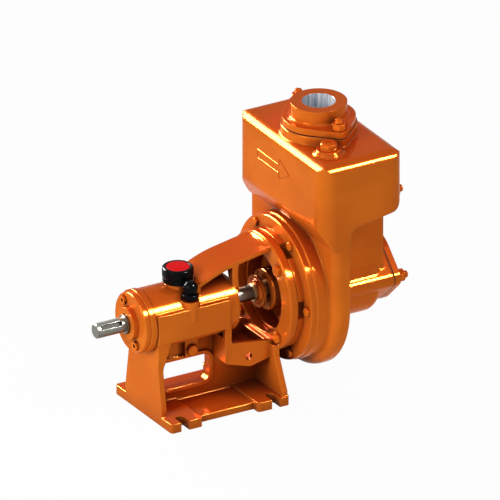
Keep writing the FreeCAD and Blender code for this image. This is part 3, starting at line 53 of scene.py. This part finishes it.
def lamp(name, way, distance, size, power, tint=(1, 1, 1), gloss_only=False):
    """A soft lamp that stands off the pump's middle in one direction and faces it."""
    data = bpy.data.lights.new(name, "AREA")
    data.shape = "RECTANGLE"
    data.size, data.size_y = size
    data.energy = power
    data.color = tint
    holder = bpy.data.objects.new(name, data)
    holder.location = pump_middle + Vector(way).normalized() * distance
    holder.rotation_euler = (-Vector(way)).to_track_quat("-Z", "Y").to_euler()
    holder.visible_diffuse = not gloss_only
    scene.collection.objects.link(holder)


lamp("drive_end_lamp", (-0.86, -0.20, 0.42), distance=2.6, size=(1.2, 1.2), power=36,
     tint=(1.0, 0.97, 0.88))
lamp("front_strip", (0.456, -0.604, 0.655), distance=4.0, size=(0.8, 0.75), power=700, gloss_only=True)
lamp("back_strip", (-0.316, 0.781, 0.40), distance=4.0, size=(2.4, 1.6), power=1700, gloss_only=True)


# The sky and the floor are plain white to the camera, in gloss and through glass. The sky lights the
# pump more dimly, with a warm tint. The floor is a wide pale sheet that keeps the pump's soft shadow.
class Socket:
    """A node's output, wrapped so that sums and products of values read as plain maths."""

    def __init__(self, finish, output):
        self.finish = finish
        self.output = output

    def maths(self, operation, first, second=0.0):
        """Adds a Math node. Each operator below names its operation."""
        return self.finish.node("ShaderNodeMath", {"operation": operation}, {0: first, 1: second})

    def __add__(self, other):
        return self.maths("ADD", self, other)

    def __radd__(self, other):
        return self.maths("ADD", other, self)

    def __sub__(self, other):
        return self.maths("SUBTRACT", self, other)

    def __rsub__(self, other):
        return self.maths("SUBTRACT", other, self)

    def __mul__(self, other):
        return self.maths("MULTIPLY", self, other)

    def __rmul__(self, other):
        return self.maths("MULTIPLY", other, self)

    def __gt__(self, other):
        return self.maths("GREATER_THAN", self, other)

    def __lt__(self, other):
        return self.maths("LESS_THAN", self, other)

    def __abs__(self):
        return self.maths("ABSOLUTE", self)


class Finish:
    """The nodes of a material or of the sky. node() adds any node, and coat() sets the main shader."""

    def __init__(self, owner, shader="Principled BSDF", end="Material Output"):
        owner.use_nodes = True
        self.owner = owner
        self.tree = owner.node_tree
        self.shader = self.tree.nodes[shader]
        self.end = self.tree.nodes[end]

    def put(self, target, value):
        """Links a node's output to a socket, or sets the socket to a plain value."""
        if isinstance(value, Socket):
            self.tree.links.new(value.output, target)
        else:
            target.default_value = value

    def node(self, kind, settings=None, sockets=None, output=0):
        """Adds a node: its settings come first, then the values or links of its sockets."""
        made = self.tree.nodes.new(kind)
        for field, value in (settings or {}).items():
            setattr(made, field, value)
        for name, value in (sockets or {}).items():
            self.put(made.inputs[name], value)
        return Socket(self, made.outputs[output])

    def place(self):
        """Where a point lies on the pump, in metres."""
        return self.node("ShaderNodeTexCoord", output="Object")

    def part(self, axis, vector):
        """One part of a place or a direction: its X, Y or Z."""
        return self.node("ShaderNodeSeparateXYZ", sockets={0: vector}, output=axis)

    def vectors(self, operation, first, second, output="Vector"):
        """Maths on whole places or directions."""
        return self.node("ShaderNodeVectorMath", {"operation": operation}, {0: first, 1: second}, output)

    def stretched(self, scales, origin=(0, 0, 0)):
        """Where a point lies from an origin, with X, Y and Z each multiplied by its own scale."""
        return self.vectors("MULTIPLY", self.vectors("SUBTRACT", self.place(), origin), scales)

    def reach(self, origin, directions):
        """How far a point lies from an origin, in metres, along those of X, Y and Z that are 1."""
        return self.vectors("LENGTH", self.stretched(directions, origin), (0, 0, 0), "Value")

    def noise(self, scale, detail=3.0, rough=0.5, place=None):
        """A cloud of values about 0.5, over the pump or over a stretched place."""
        return self.node("ShaderNodeTexNoise", sockets={
            "Vector": place or self.place(), "Scale": scale, "Detail": detail, "Roughness": rough})

    def blend(self, factor, first, second):
        """The first colour where the factor is 0 and the second where it is 1."""
        return self.node("ShaderNodeMix", {"data_type": "RGBA"}, {0: factor, 6: first, 7: second}, output=2)

    def step(self, value, low, high):
        """0 below low, 1 above high and a smooth ramp between."""
        return self.node("ShaderNodeMapRange", {"interpolation_type": "SMOOTHSTEP"},
                         {"Value": value, "From Min": low, "From Max": high})

    def rounded(self, radius, samples=6):
        """The surface's direction, with its sharp edges rounded."""
        return self.node("ShaderNodeBevel", {"samples": samples}, {"Radius": radius})

    def bump(self, height, strength, distance, normal=None):
        """The surface's direction, tilted where the height changes."""
        sockets = {"Height": height, "Strength": strength, "Distance": distance}
        if normal is not None:
            sockets["Normal"] = normal
        return self.node("ShaderNodeBump", sockets=sockets)

    def coat(self, **sockets):
        """Sets the main shader's sockets, each named in small letters with underscores."""
        inputs = {socket.name.lower().replace(" ", "_"): socket for socket in self.shader.inputs}
        for name, value in sockets.items():
            self.put(inputs[name], value)
        return self.owner

    def show_white(self, kind, share):
        """Mixes in plain white for what the camera sees straight on, in gloss and through glass."""
        seen = sum(self.node("ShaderNodeLightPath", output=ray)
                   for ray in ("Is Camera Ray", "Is Glossy Ray", "Is Transmission Ray"))
        own = Socket(self, self.shader.outputs[0])
        white = self.node(kind, sockets={"Color": (1, 1, 1, 1), "Strength": 1.0})
        mixed = self.node("ShaderNodeMixShader", sockets={0: seen * share, 1: own, 2: white})
        self.put(self.end.inputs["Surface"], mixed)


sky = Finish(bpy.data.worlds.new("studio_sky"), "Background", "World Output")
scene.world = sky.coat(color=(1.0, 0.90, 0.88, 1), strength=0.36)
sky.show_white("ShaderNodeBackground", share=1.0)

floor_half = 6.0
floor_drop = 0.0005
floor_corners = [(x * floor_half, y * floor_half, 0) for x, y in ((-1, -1), (1, -1), (1, 1), (-1, 1))]
floor_mesh = bpy.data.meshes.new("floor")
floor_mesh.from_pydata(floor_corners, [], [(0, 1, 2, 3)])
floor = bpy.data.objects.new("floor", floor_mesh)
floor.location = (0, 0, -floor_drop)
scene.collection.objects.link(floor)
floor_finish = Finish(bpy.data.materials.new("floor_white"))
floor_mesh.materials.append(floor_finish.coat(base_color=(0.82, 0.82, 0.82, 1), roughness=0.9))
floor_finish.show_white("ShaderNodeEmission", share=0.96)

# The camera looks from the drive end's near side, 25 degrees down, in parallel projection. Its frame is
# set by the picture's width on the pump and by where the foot's middle lies in the picture.
picture_pixels = 500
picture_width = 0.767
foot_middle_pixel = (202.5, 398.8)
view_turn = math.radians(-30.3)
view_tilt = math.radians(25.3)
view_distance = 3.0
pixel = picture_width / picture_pixels
across = Vector((math.cos(view_turn), math.sin(view_turn), 0))
outward = Vector((math.sin(view_turn) * math.cos(view_tilt), -math.cos(view_turn) * math.cos(view_tilt),
                  math.sin(view_tilt)))
upward = outward.cross(across)
right_of_foot = across * ((picture_pixels / 2 - foot_middle_pixel[0]) * pixel)
above_foot = upward * ((foot_middle_pixel[1] - picture_pixels / 2) * pixel)
camera_data = bpy.data.cameras.new("camera")
camera_data.type = "ORTHO"
camera_data.ortho_scale = picture_width
camera_data.clip_end = 20
camera = bpy.data.objects.new("camera", camera_data)
camera.matrix_world = Matrix.Translation(right_of_foot + above_foot + outward * view_distance) @ Matrix(
    (across, upward, outward)).transposed().to_4x4()
scene.collection.objects.link(camera)
scene.camera = camera

# The bearing bracket is one iron casting: a foot, two legs, the bearing housing, and the lantern that
# carries the pump. One coat of gloss orange is sprayed over the rough iron. Its colour holds painted
# light: a painted highlight on the edges, a redder painted tone on faces that look up, and painted
# dark-brown shade in the corners and recesses.
mm = 0.001


def span(node):
    """The low and the high corner of a CAD node, in millimetres, to a tenth."""
    return np.round(np.array(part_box(node)) / mm, 1)


def orange_paint(name, edge, grain_height, tone=1.0, joint=None, bore=None):
    """Gloss orange over metal, with a dark line where X meets a joint and bare metal in a bore.

    Its colour holds painted light: a highlight on edges, a redder tone on faces that look up, shade in
    corners and recesses, and reflection streaks in the bore.
    """
    finish = Finish(bpy.data.materials.new(name))
    deep = (0.68 * tone, 0.155 * tone, 0.015, 1)
    bright = (0.77 * tone, 0.188 * tone, 0.017, 1)
    painted_top_tint = (0.76 * tone, 0.100 * tone, 0.010, 1)
    painted_edge_highlight = (1.0, 0.40, 0.07, 1)
    painted_corner_shade = (0.11, 0.022, 0.008, 1)
    cloud = finish.noise(9, detail=2.0)
    tones = finish.blend(finish.step(cloud, 0.35, 0.65), deep, bright)
    flat = finish.node("ShaderNodeNewGeometry", output="Normal")
    # Faces that look up are tinted redder and darker: a painted tone for how light falls on tops.
    faces_up = finish.step(finish.part("Z", flat), 0.2, 0.9)
    tones = finish.blend(faces_up * 0.7, tones, painted_top_tint)
    # Edges that the rounding finds are lightened towards pale orange: a painted highlight.
    rounded = finish.rounded(edge, samples=8)
    on_edge = finish.step(1.0 - finish.vectors("DOT_PRODUCT", rounded, flat, "Value"), 0.02, 0.25)
    tones = finish.blend(on_edge * 0.35, tones, painted_edge_highlight)
    # Corners and recesses that the occlusion finds go dark brown: painted shade.
    openness = finish.node("ShaderNodeAmbientOcclusion", {"samples": 8}, {"Distance": 0.075}, "AO")
    tones = finish.blend(finish.step(openness, 0.08, 0.85), painted_corner_shade, tones)
    if joint:
        gap_half = 0.0007
        in_gap = abs(finish.part("X", finish.place()) - joint) < gap_half
        tones = finish.blend(in_gap, tones, (0.02, 0.006, 0.003, 1))
    if bore:
        # The bore's bright and blue-grey streaks up and down are painted reflection over the bare metal.
        bare_radius = 0.0262
        painted_reflection_streaks = finish.noise(1.0, rough=0.6, place=finish.stretched((260, 260, 6), bore))
        metal = finish.blend(finish.step(painted_reflection_streaks, 0.35, 0.65), (0.42, 0.50, 0.60, 1), (0.95, 0.97, 1.0, 1))
        in_bore = finish.reach(bore, (1, 1, 0)) < bare_radius
        tones = finish.blend(in_bore, tones, metal)
    grain = finish.noise(420, detail=4.0, rough=0.6)
    lumps = finish.noise(70, detail=2.0)
    return finish.coat(base_color=tones, metallic=0.16, roughness=0.11 + grain * 0.04,
                       specular_ior_level=0.02, specular_tint=(1.0, 0.7, 0.5, 1),
                       normal=finish.bump(grain * 0.35 + lumps, grain_height, 0.0012, rounded))


def wear(material, *names):
    """Gives CAD nodes their finish."""
    for name in names:
        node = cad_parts[name]
        if not node.material_slots:
            node.data.materials.append(material)
        for slot in node.material_slots:
            slot.material = material


def skin(name, grid, spots=((0, 0, 0),), closed_rows=True, closed_columns=False):
    """A mesh over a grid of points in millimetres, set down once at each spot.

    Each face joins a point to the next one in its row, in its column and across from it. A closed
    direction joins its last points to its first.
    """
    merged_gap, sliver, sharpest_smooth = 0.002 * mm, 0.001 * mm, math.radians(32)
    rows, columns = grid.shape[:2]
    index = np.arange(rows * columns).reshape(rows, columns)
    if closed_rows:
        index = np.vstack([index, index[:1]])
    if closed_columns:
        index = np.hstack([index, index[:, :1]])
    corners = [index[:-1, :-1], index[1:, :-1], index[1:, 1:], index[:-1, 1:]]
    quads = np.stack(corners, axis=-1).reshape(-1, 4)
    copies = np.arange(len(spots))[:, None, None] * rows * columns
    points = (grid.reshape(1, -1, 3) + np.array(spots, float)[:, None]).reshape(-1, 3) * mm
    mesh = bpy.data.meshes.new(name)
    mesh.from_pydata(points.tolist(), [], (quads + copies).reshape(-1, 4).tolist())
    work = bmesh.new()
    work.from_mesh(mesh)
    bmesh.ops.remove_doubles(work, verts=work.verts, dist=merged_gap)
    bmesh.ops.dissolve_degenerate(work, edges=work.edges, dist=sliver)
    bmesh.ops.recalc_face_normals(work, faces=work.faces)
    work.to_mesh(mesh)
    work.free()
    mesh.shade_smooth()
    mesh.set_sharp_from_angle(angle=sharpest_smooth)
    piece = bpy.data.objects.new(name, mesh)
    scene.collection.objects.link(piece)
    return piece


def fit(piece, material, slot, *stands_for, body="pump_frame"):
    """Paints a piece, lets it ride its body and hides the nodes it stands for. The slot is not used."""
    piece.data.materials.append(material)
    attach(piece, body)
    if stands_for:
        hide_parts(*stands_for)


lantern_joint = span("bearing_bracket")[1][0] * mm
casting_paint = orange_paint("orange_casting_paint", 0.0022, 0.02, joint=lantern_joint)
wear(casting_paint, "bearing_bracket")

# The arm that bridges the lantern is cast in one with the bracket. Where it meets the round flange, a
# run of metal fills the corner, highest in the middle of the arm, where the flange stands tallest.
shaft_level = span("drive_shaft").mean(axis=0)[2]
flange_front = 101.6
flange_radius = 93.0
arm_half = 33.0
arm_top = 86.8
arm_slope = 0.1786


def arm_run():
    """x = flange - spread x rise x (1 - sine), height = arm + rise x (1 - cosine), over a quarter turn.

    The rise is what the flange's circle stands above the arm at that side, so the run fades out with it.
    """
    spread, into_flange, into_arm, least_rise = 2.7, 0.4, 2.8, 0.02
    side = np.linspace(-arm_half, arm_half, 45)[:, None]
    turn = np.linspace(0, math.pi / 2, 14)[None, :]
    rise = np.maximum(np.sqrt(flange_radius ** 2 - side ** 2) - arm_top, least_rise)
    x = flange_front + into_flange - spread * rise * (1 - np.sin(turn))
    arm = shaft_level + arm_top + arm_slope * (x - flange_front)
    top = np.stack(np.broadcast_arrays(x, side, arm + rise * (1 - np.cos(turn))), axis=-1)
    bottom = np.stack(np.broadcast_arrays(x, side, arm - into_arm), axis=-1)[:, [-1, 0]]
    return np.concatenate([top, bottom], axis=1)


fit(skin("arm_corner_run", arm_run(), closed_rows=False, closed_columns=True),
    casting_paint, "orange_casting")

# The pump casing is the second iron casting: the cover's ring, the volute, the tank above it, and the
# suction chamber behind. An arrow stands on the tank's front, cast on, and shows how the water runs.
casing_paint = orange_paint("orange_casing_paint", 0.0055, 0.02)
wear(casing_paint, "pump_casing")

arrow_tip = -32.0
arrow_neck = 2.0
arrow_tail = 66.0
arrow_level = 358.0
arrow_shaft_half = 8.0
arrow_head_half = 19.0
tank_front = span("pump_casing")[0][0]


def arrow_band():
    """Point = corner + reach x mitre, raised off the tank by the section's height.

    A mitre is the sum of the inward directions of a corner's two sides, over 1 + their dot product.
    """
    width, rise, lean, root = 2.0, 1.1, 0.35, -0.5
    half = [(arrow_tail, arrow_shaft_half), (arrow_neck, arrow_shaft_half), (arrow_neck, arrow_head_half)]
    corners = np.array([(side, arrow_level - drop) for side, drop in half] + [(arrow_tip, arrow_level)] +
                       [(side, arrow_level + drop) for side, drop in reversed(half)])
    along = np.roll(corners, -1, axis=0) - corners
    along /= np.linalg.norm(along, axis=1)[:, None]
    inward = np.stack([along[:, 1], -along[:, 0]], axis=1)
    before = np.roll(inward, 1, axis=0)
    mitre = (before + inward) / (1 + (before * inward).sum(axis=1))[:, None]
    section = [(0.0, root), (lean, rise), (width - lean, rise), (width, root)]
    return np.stack([np.insert(corners + reach * mitre, 0, tank_front - height, axis=1)
                     for reach, height in section], axis=1)


fit(skin("flow_arrow", arrow_band(), closed_columns=True), casting_paint, "orange_casting")

# The priming plug's boss is cast on the tank's top. The casting rises to it in a small hollow corner,
# because a sharp inner corner would crack as the iron cools. The corner is a turned surface. Each way
# below gives such a surface its axis, and the two sides that its angle runs between.
ways = {"X": ((1, 0, 0), (0, 0, 1), (0, 1, 0)), "-X": ((-1, 0, 0), (0, 0, 1), (0, 1, 0)),
        "Y": ((0, 1, 0), (1, 0, 0), (0, 0, 1)), "-Y": ((0, -1, 0), (1, 0, 0), (0, 0, 1)),
        "Z": ((0, 0, 1), (1, 0, 0), (0, 1, 0))}


def spun(profile, way, flats=None, steps=72):
    """Point = height x axis + radius x (cosine of the angle x first side + sine x second side).

    Where flats is given, the radius is held inside a hexagon, so a cone cuts curved chamfers on it.
    """
    height, radius = np.array(profile, float).T
    axis, first, second = np.array(ways[way], float)
    angle = np.arange(steps) * 2 * math.pi / steps
    reach = np.broadcast_to(radius, (steps, len(radius)))
    if flats:
        reach = np.minimum(reach, (flats / 2 / np.cos(angle % (math.pi / 3) - math.pi / 6))[:, None])
    ring = np.cos(angle)[:, None] * first + np.sin(angle)[:, None] * second
    return height[None, :, None] * axis + reach[:, :, None] * ring[:, None]


def cove(name, way, spot, radius, size, material):
    """Fills the corner round a neck: height = size x (1 - cosine), radius = neck + size x (1 - sine)."""
    sunk = 0.6
    turn = np.linspace(0, math.pi / 2, 10)
    hollow = list(zip(size * (1 - np.cos(turn)), radius + size * (1 - np.sin(turn))))
    back = [(size, radius - sunk), (-sunk, radius - sunk), (-sunk, radius + size)]
    piece = skin(name, spun(hollow + back, way), [spot], closed_columns=True)
    fit(piece, material, "orange_casting")


plug_x, plug_y, plug_level = span("priming_plug").mean(axis=0)
boss_foot = 408.0
cove("plug_boss_cove", "Z", (plug_x, plug_y, boss_foot), 22.0, 4.0, casting_paint)

# The covers, the seal plate and the suction flange are iron castings, faced and bored on a lathe and
# painted smooth. The deflector is a turned ring that is pushed onto the shaft. The cover's gasket is
# painted over with the joint that it seals.
machined_paint = orange_paint("orange_machined_paint", 0.0009, 0.012)
wear(machined_paint, "casing_cover", "cover_gasket", "outboard_bearing_cover", "inboard_bearing_cover",
     "seal_plate", "deflector_ring", "suction_flange", "inspection_cover")

# The discharge flange is an oval casting with a round neck, and two studs hold it on the tank. Its
# bore is machined after painting, so the metal there is bare; its bright and blue-grey streaks up and
# down are painted reflection. Its neck and the suction flange's neck each grow out of the plate in a
# small hollow corner.
discharge_x = span("discharge_flange").mean(axis=0)[0]
discharge_seat = span("discharge_nuts")[0][2]
suction_level = span("suction_flange").mean(axis=0)[2]
suction_seat = span("suction_nuts")[0][0]
neck_radius = 44.0
neck_cove = 5.0
port_paint = orange_paint("orange_port_paint", 0.0012, 0.012, bore=(discharge_x * mm, 0, 0))
wear(port_paint, "discharge_flange")
cove("discharge_neck_cove", "Z", (discharge_x, 0, discharge_seat), neck_radius, neck_cove, machined_paint)
cove("suction_neck_cove", "X", (suction_seat, 0, suction_level), neck_radius, neck_cove, machined_paint)

# Hexagon bolts of forged steel hold the cover to the casing and the lantern to the cover. Each head
# has a washer face under it and rounded corners on top, and is painted over where it sits.
fastener_paint = orange_paint("orange_fastener_paint", 0.0006, 0.01, tone=1.12)


def crown(start, rise, radius, narrowing, steps=9):
    """A head's round top: height = start + rise x sine, radius = radius - narrowing x (1 - cosine)."""
    turn = np.linspace(0, math.pi / 2, steps)
    return list(zip(start + rise * np.sin(turn), radius - narrowing * (1 - np.cos(turn))))


def bolt_ring(name, node, radius, circle, angles):
    """Bolts that face the drive end, at these angles on a circle round the shaft, in place of a node."""
    front, back = span(node)[:, 0]
    head = radius * 1.3
    flats = radius * 3.25
    corner = flats / math.sqrt(3)
    top = flats * 0.40
    washer = flats * 0.47
    washer_rise = 0.4
    seat = front + head
    shank = [(seat - back, 0), (seat - back, radius), (0, radius)]
    foot = [(0, washer), (washer_rise, washer), (washer_rise, corner)]
    profile = shank + foot + crown(head * 0.45, head * 0.55, corner, corner - top, 8) + [(head, 0)]
    spots = [(seat, circle * math.cos(angle), shaft_level + circle * math.sin(angle))
             for angle in np.radians(angles)]
    fit(skin(name, spun(profile, "-X", flats), spots), fastener_paint, "orange_fasteners", node)


bolt_ring("lantern_bolt_heads", "lantern_bolts", 5.0, circle=80, angles=(45, 135, 225, 315))
bolt_ring("cover_bolt_heads", "cover_bolts", 4.0, circle=104, angles=range(0, 360, 60))

# Two steel studs and nuts hold each oval flange. The nuts are chamfered at both ends. Each stud's tip
# stands proud of its nut, with its thread showing and its end rounded.
stud_radius = 6.0
stud_side = 62.0
stud_pitch = 1.75
nut_flats = 19.5


def stud_profile(length):
    """A rod whose last stretch carries ridges of thread, half a pitch apart, and ends in a low dome."""
    showing, runout, thread_depth, dome = 8.0, 1.0, 0.55, 2.2
    ridges = np.arange(length - showing, length - dome, stud_pitch / 2)
    thread = [(place, stud_radius - thread_depth * (count % 2 == 0)) for count, place in enumerate(ridges)]
    tip = [(1.8, 0.95), (0.9, 0.78), (0.2, 0.4), (0, 0)]
    return ([(0, 0), (0, stud_radius), (length - showing - runout, stud_radius)] + thread +
            [(length - down, stud_radius * share) for down, share in tip])


def nut_profile(height):
    """The closed section of a nut: its bore, and cones that trim its corners at both ends."""
    bore = stud_radius + 0.05
    corner = nut_flats / math.sqrt(3)
    rim = nut_flats * 0.45
    low = [(0.0, rim), (0.5, (rim + corner) / 2), (1.1, corner - 0.2), (1.6, corner)]
    high = [(height - place, radius) for place, radius in reversed(low)]
    return [(0.0, bore)] + low + high + [(height, bore)]


for port, way in (("discharge", "Z"), ("suction", "X"), ("inspection", "X")):
    axis = "XYZ".index(way)
    for kind, profile, flats in (("nuts", nut_profile, nut_flats), ("studs", stud_profile, None)):
        low, high = span(f"{port}_{kind}")
        middle = (low + high) / 2
        middle[axis] = low[axis]
        spots = [middle + (0, side, 0) for side in (-stud_side, stud_side)]
        piece = skin(f"{port}_flange_{kind}", spun(profile(high[axis] - low[axis]), way, flats), spots,
                     closed_columns=kind == "nuts")
        fit(piece, fastener_paint, "orange_fasteners", f"{port}_{kind}")

# The priming plug is a forged steel plug with a round shoulder and a domed hexagon, screwed into its
# boss. The oil drain plug below the housing is smaller. Small socket screws hold the bearing covers
# and the seal plate.
plug_profile = [(-12, 0), (-12, 9.6), (-10.5, 10.9), (-0.2, 10.9), (-0.2, 14.6), (0.4, 15.5), (1.9, 15.5),
                (2.5, 14.8), (2.5, 12.4), (3.0, 12.4), (3.0, 15.0)] + crown(5.5, 6.5, 15.0, 8.0) + [(12, 0)]
plug_grid = spun(plug_profile, "Z", flats=25.9)
fit(skin("priming_plug_head", plug_grid, [(plug_x, plug_y, plug_level)]),
    fastener_paint, "orange_fasteners", "priming_plug", body="plug")

drain_head = 7.0
drain_x, _, drain_level = span("oil_drain_plug").mean(axis=0)
drain_seat = span("oil_drain_plug")[0][1] + drain_head
drain_profile = [(-9, 0), (-9, 5.9), (0, 5.9), (0, 9.6), (1.5, 9.6), (1.5, 9.3)]
drain_grid = spun(drain_profile + crown(3.5, 3.5, 9.3, 4.6) + [(drain_head, 0)], "-Y", flats=17.4)
fit(skin("drain_plug_head", drain_grid, [(drain_x, drain_seat, drain_level)]),
    fastener_paint, "orange_fasteners", "oil_drain_plug")
wear(fastener_paint, "outboard_cover_screws", "inboard_cover_screws", "seal_plate_screws")


# The shaft is turned and ground from steel bar. Its open keyway gets painted dark shade. The impeller's
# key and the flap's pin are the same steel, pushed into their places.
def toned(colour, share=1.0, lift=0.0):
    """A colour made lighter or darker by a share, then lifted, with its alpha."""
    return tuple(part * share + lift for part in colour) + (1,)


def turned_metal(name, colour, roughness, ring_scale=900, slot_radius=None):
    """Bare turned metal with fine rings along X, and painted dark shade in a rougher slot where it lies
    nearer the axis.
    """
    finish = Finish(bpy.data.materials.new(name))
    rings = finish.noise(1.0, rough=0.6, place=finish.stretched((ring_scale, 14, 14)))
    tones = finish.blend(rings, toned(colour, 0.82), toned(colour))
    sheen = roughness + finish.noise(60, detail=2.0) * 0.12
    if slot_radius:
        face_depth = 1.0
        behind_face = finish.part("X", finish.place()) > (span("drive_shaft")[0][0] + face_depth) * mm
        in_slot = (finish.reach((0, 0, shaft_level * mm), (0, 1, 1)) < slot_radius) * behind_face
        # The slot is darkened to near black: painted shade in the keyway.
        tones = finish.blend(in_slot, tones, (0.035, 0.034, 0.030, 1))
        sheen = sheen + in_slot * 0.4
    return finish.coat(base_color=tones, metallic=1.0, roughness=sheen,
                       normal=finish.bump(rings, 0.12, 0.0003, finish.rounded(0.0005)))


shaft_steel = turned_metal("ground_shaft_steel", (0.21, 0.21, 0.18), 0.24, slot_radius=0.0116)
wear(shaft_steel, "drive_shaft", "impeller_key", "flap_pin")

# The two ball bearings are hardened steel, ground and polished. Each has an inner ring on the shaft, an
# outer ring in the housing, and a ring of balls between them.
bearing_steel = turned_metal("polished_bearing_steel", (0.68, 0.69, 0.71), 0.14, ring_scale=300)
for end in ("outboard", "inboard"):
    wear(bearing_steel, f"{end}_bearing_inner_ring", f"{end}_bearing_outer_ring", f"{end}_bearing_balls")

# The shaft's sleeve, the wear ring and the impeller's nut are turned from bronze, which can rub on iron
# without seizing. The sleeve slides onto the shaft, and the ring is pressed in round the impeller.
sleeve_bronze = turned_metal("machined_bronze", (0.62, 0.40, 0.18), 0.28)
wear(sleeve_bronze, "shaft_sleeve", "wear_ring", "impeller_nut")


# The impeller and the flap's plate are sand-cast iron, left bare because the water runs over them. A
# key and a nut hold the impeller on the shaft, and the flap hangs on its pin.
def rough_iron(name, colour):
    """Bare cast iron: dark, grainy and dull, with a few brown stains."""
    finish = Finish(bpy.data.materials.new(name))
    grain = finish.noise(600, detail=5.0, rough=0.65)
    stain = finish.step(finish.noise(35), 0.5, 0.75)
    tones = finish.blend(stain * 0.5, toned(colour), (0.16, 0.08, 0.04, 1))
    return finish.coat(base_color=tones, metallic=0.6, roughness=0.5 + grain * 0.2,
                       normal=finish.bump(grain, 0.35, 0.0006))


wear(rough_iron("bare_cast_iron", (0.20, 0.19, 0.18)), "impeller", "flap_plate")


# The oil seals, the shaft seal's bellows and the flap's face are moulded in black nitrile rubber. The
# oil seals are pressed into the bearing covers, and the face is bonded to its plate.
def soft_black(name, colour, roughness, tooth_scale, tooth_height):
    """Rubber, gasket sheet or carbon: near black, with a fine tooth."""
    finish = Finish(bpy.data.materials.new(name))
    tooth = finish.noise(tooth_scale, rough=0.6)
    cloud = finish.noise(40, detail=2.0)
    tones = finish.blend(cloud, toned(colour), toned(colour, 1.7, 0.004))
    return finish.coat(base_color=tones, roughness=roughness + tooth * 0.15, specular_ior_level=0.08,
                       normal=finish.bump(tooth, tooth_height, 0.0004))


seal_rubber = soft_black("nitrile_rubber", (0.016, 0.016, 0.017), 0.5, 700, 0.2)
wear(seal_rubber, "outboard_oil_seal", "inboard_oil_seal", "flap_rubber", "seal_bellows")

# The three port gaskets are punched from dark fibre sheet. The studs squeeze each one between its
# flange or cover and the casing.
gasket_sheet = soft_black("gasket_sheet", (0.010, 0.008, 0.007), 0.75, 900, 0.4)
wear(gasket_sheet, "discharge_gasket", "suction_gasket", "inspection_gasket")

# The shaft seal's two rings are fine carbon, lapped flat where they run on each other. One stands still
# in the seal plate. The other turns with the shaft, and the bellows presses it forward.
seal_carbon = soft_black("seal_carbon", (0.03, 0.03, 0.032), 0.3, 1200, 0.05)
wear(seal_carbon, "seal_still_ring", "seal_turning_ring")


# The oil filler is moulded in gloss black plastic: a cup on the housing, and a push-on cap that is
# ribbed for the fingers. A bright red disc is let into the cap's top.
def gloss_plastic(name, colour, roughness, shine):
    """Moulded plastic with a polished skin and a very faint orange peel."""
    finish = Finish(bpy.data.materials.new(name))
    peel = finish.noise(240, detail=2.0)
    cloud = finish.noise(50, detail=2.0)
    tones = finish.blend(cloud, toned(colour), toned(colour, 1.15))
    return finish.coat(base_color=tones, roughness=roughness + peel * 0.05, specular_ior_level=shine,
                       normal=finish.bump(peel, 0.04, 0.0006, finish.rounded(0.0006)))


black_plastic = gloss_plastic("black_gloss_plastic", (0.004, 0.004, 0.005), 0.10, 0.04)
red_plastic = gloss_plastic("red_gloss_plastic", (0.98, 0.012, 0.016), 0.20, 0.01)
wear(black_plastic, "oil_cup")

filler_x = span("oil_cup_cap").mean(axis=0)[0]
cap_seat = span("oil_cup_cap")[0][2]
recess = 14.1
rib_count = 40
steps_per_rib = 8
cap_profile = [(0, 0), (0, 23.2), (0.7, 24.2), (1.4, 24.5), (6.5, 24.5), (11.6, 24.5), (13.4, 24.2),
               (14.6, 23.4), (15.3, 22.3), (15.5, 20.9), (15.5, 19.3), (15.1, 18.8), (recess, 18.6),
               (recess, 0)]


def ribbed_cap():
    """The spun profile, its radius x (1 - depth x (1 - cosine(ribs x angle)) / 2) where fingers grip."""
    depth, grip_foot, grip_top = 0.018, 1.0, 12.0
    steps = rib_count * steps_per_rib
    grid = spun(cap_profile, "Z", steps=steps)
    height = grid[:, :, 2]
    grip = (height > grip_foot) & (height < grip_top)
    wave = (1 - np.cos(rib_count * np.arange(steps) * 2 * math.pi / steps)) / 2
    grid[:, :, :2] *= (1 - depth * wave[:, None] * grip)[:, :, None]
    return grid


fit(skin("filler_cap_shell", ribbed_cap(), [(filler_x, 0, cap_seat)]),
    black_plastic, "black_plastic", "oil_cup_cap", body="filler_cap")

disc_radius = 18.0
disc_rim = 18.3
disc_bow = np.linspace(1, 0, 8)
disc_dome = list(zip(2.0 - 0.8 * disc_bow ** 2, disc_radius * disc_bow))
disc_grid = spun([(0, 0), (0, disc_rim), (0.9, disc_rim)] + disc_dome, "Z", steps=96)
fit(skin("red_cap_disc", disc_grid, [(filler_x, 0, cap_seat + recess)]),
    red_plastic, "red_plastic", "cap_disc", body="filler_cap")

# The breather lets the housing's air in and out. It is a fat elbow of the same black plastic, screwed
# into the housing beside the filler: a collar, a round bulb, and a short spout towards the cap.
breather_foot = (filler_x, -38.0, 186.0)
bulb_level = 29.0
bulb_turn = np.linspace(-0.9, math.pi / 2, 14)
bulb = list(zip(bulb_level + 11.6 * np.sin(bulb_turn), 11.9 * np.cos(bulb_turn)))
collar = [(0, 0), (0, 6.5), (10.5, 6.5), (11.2, 11.4), (12.6, 12.9), (15.5, 13.3), (18.4, 12.6),
          (19.6, 11.0)]
fit(skin("breather_elbow_bulb", spun(collar + bulb, "Z", steps=64), [breather_foot]),
    black_plastic, "black_plastic", "breather_elbow")
spout_level = 26.4
spout_profile = [(0, 0), (0, 8.6), (10, 8.0), (15.5, 7.6), (15.5, 0)]
spout_root = np.add(breather_foot, (0, 0, spout_level))
spout_grid = spun(spout_profile, "Y", steps=48)
fit(skin("breather_spout", spout_grid, [spout_root]), black_plastic, "black_plastic")
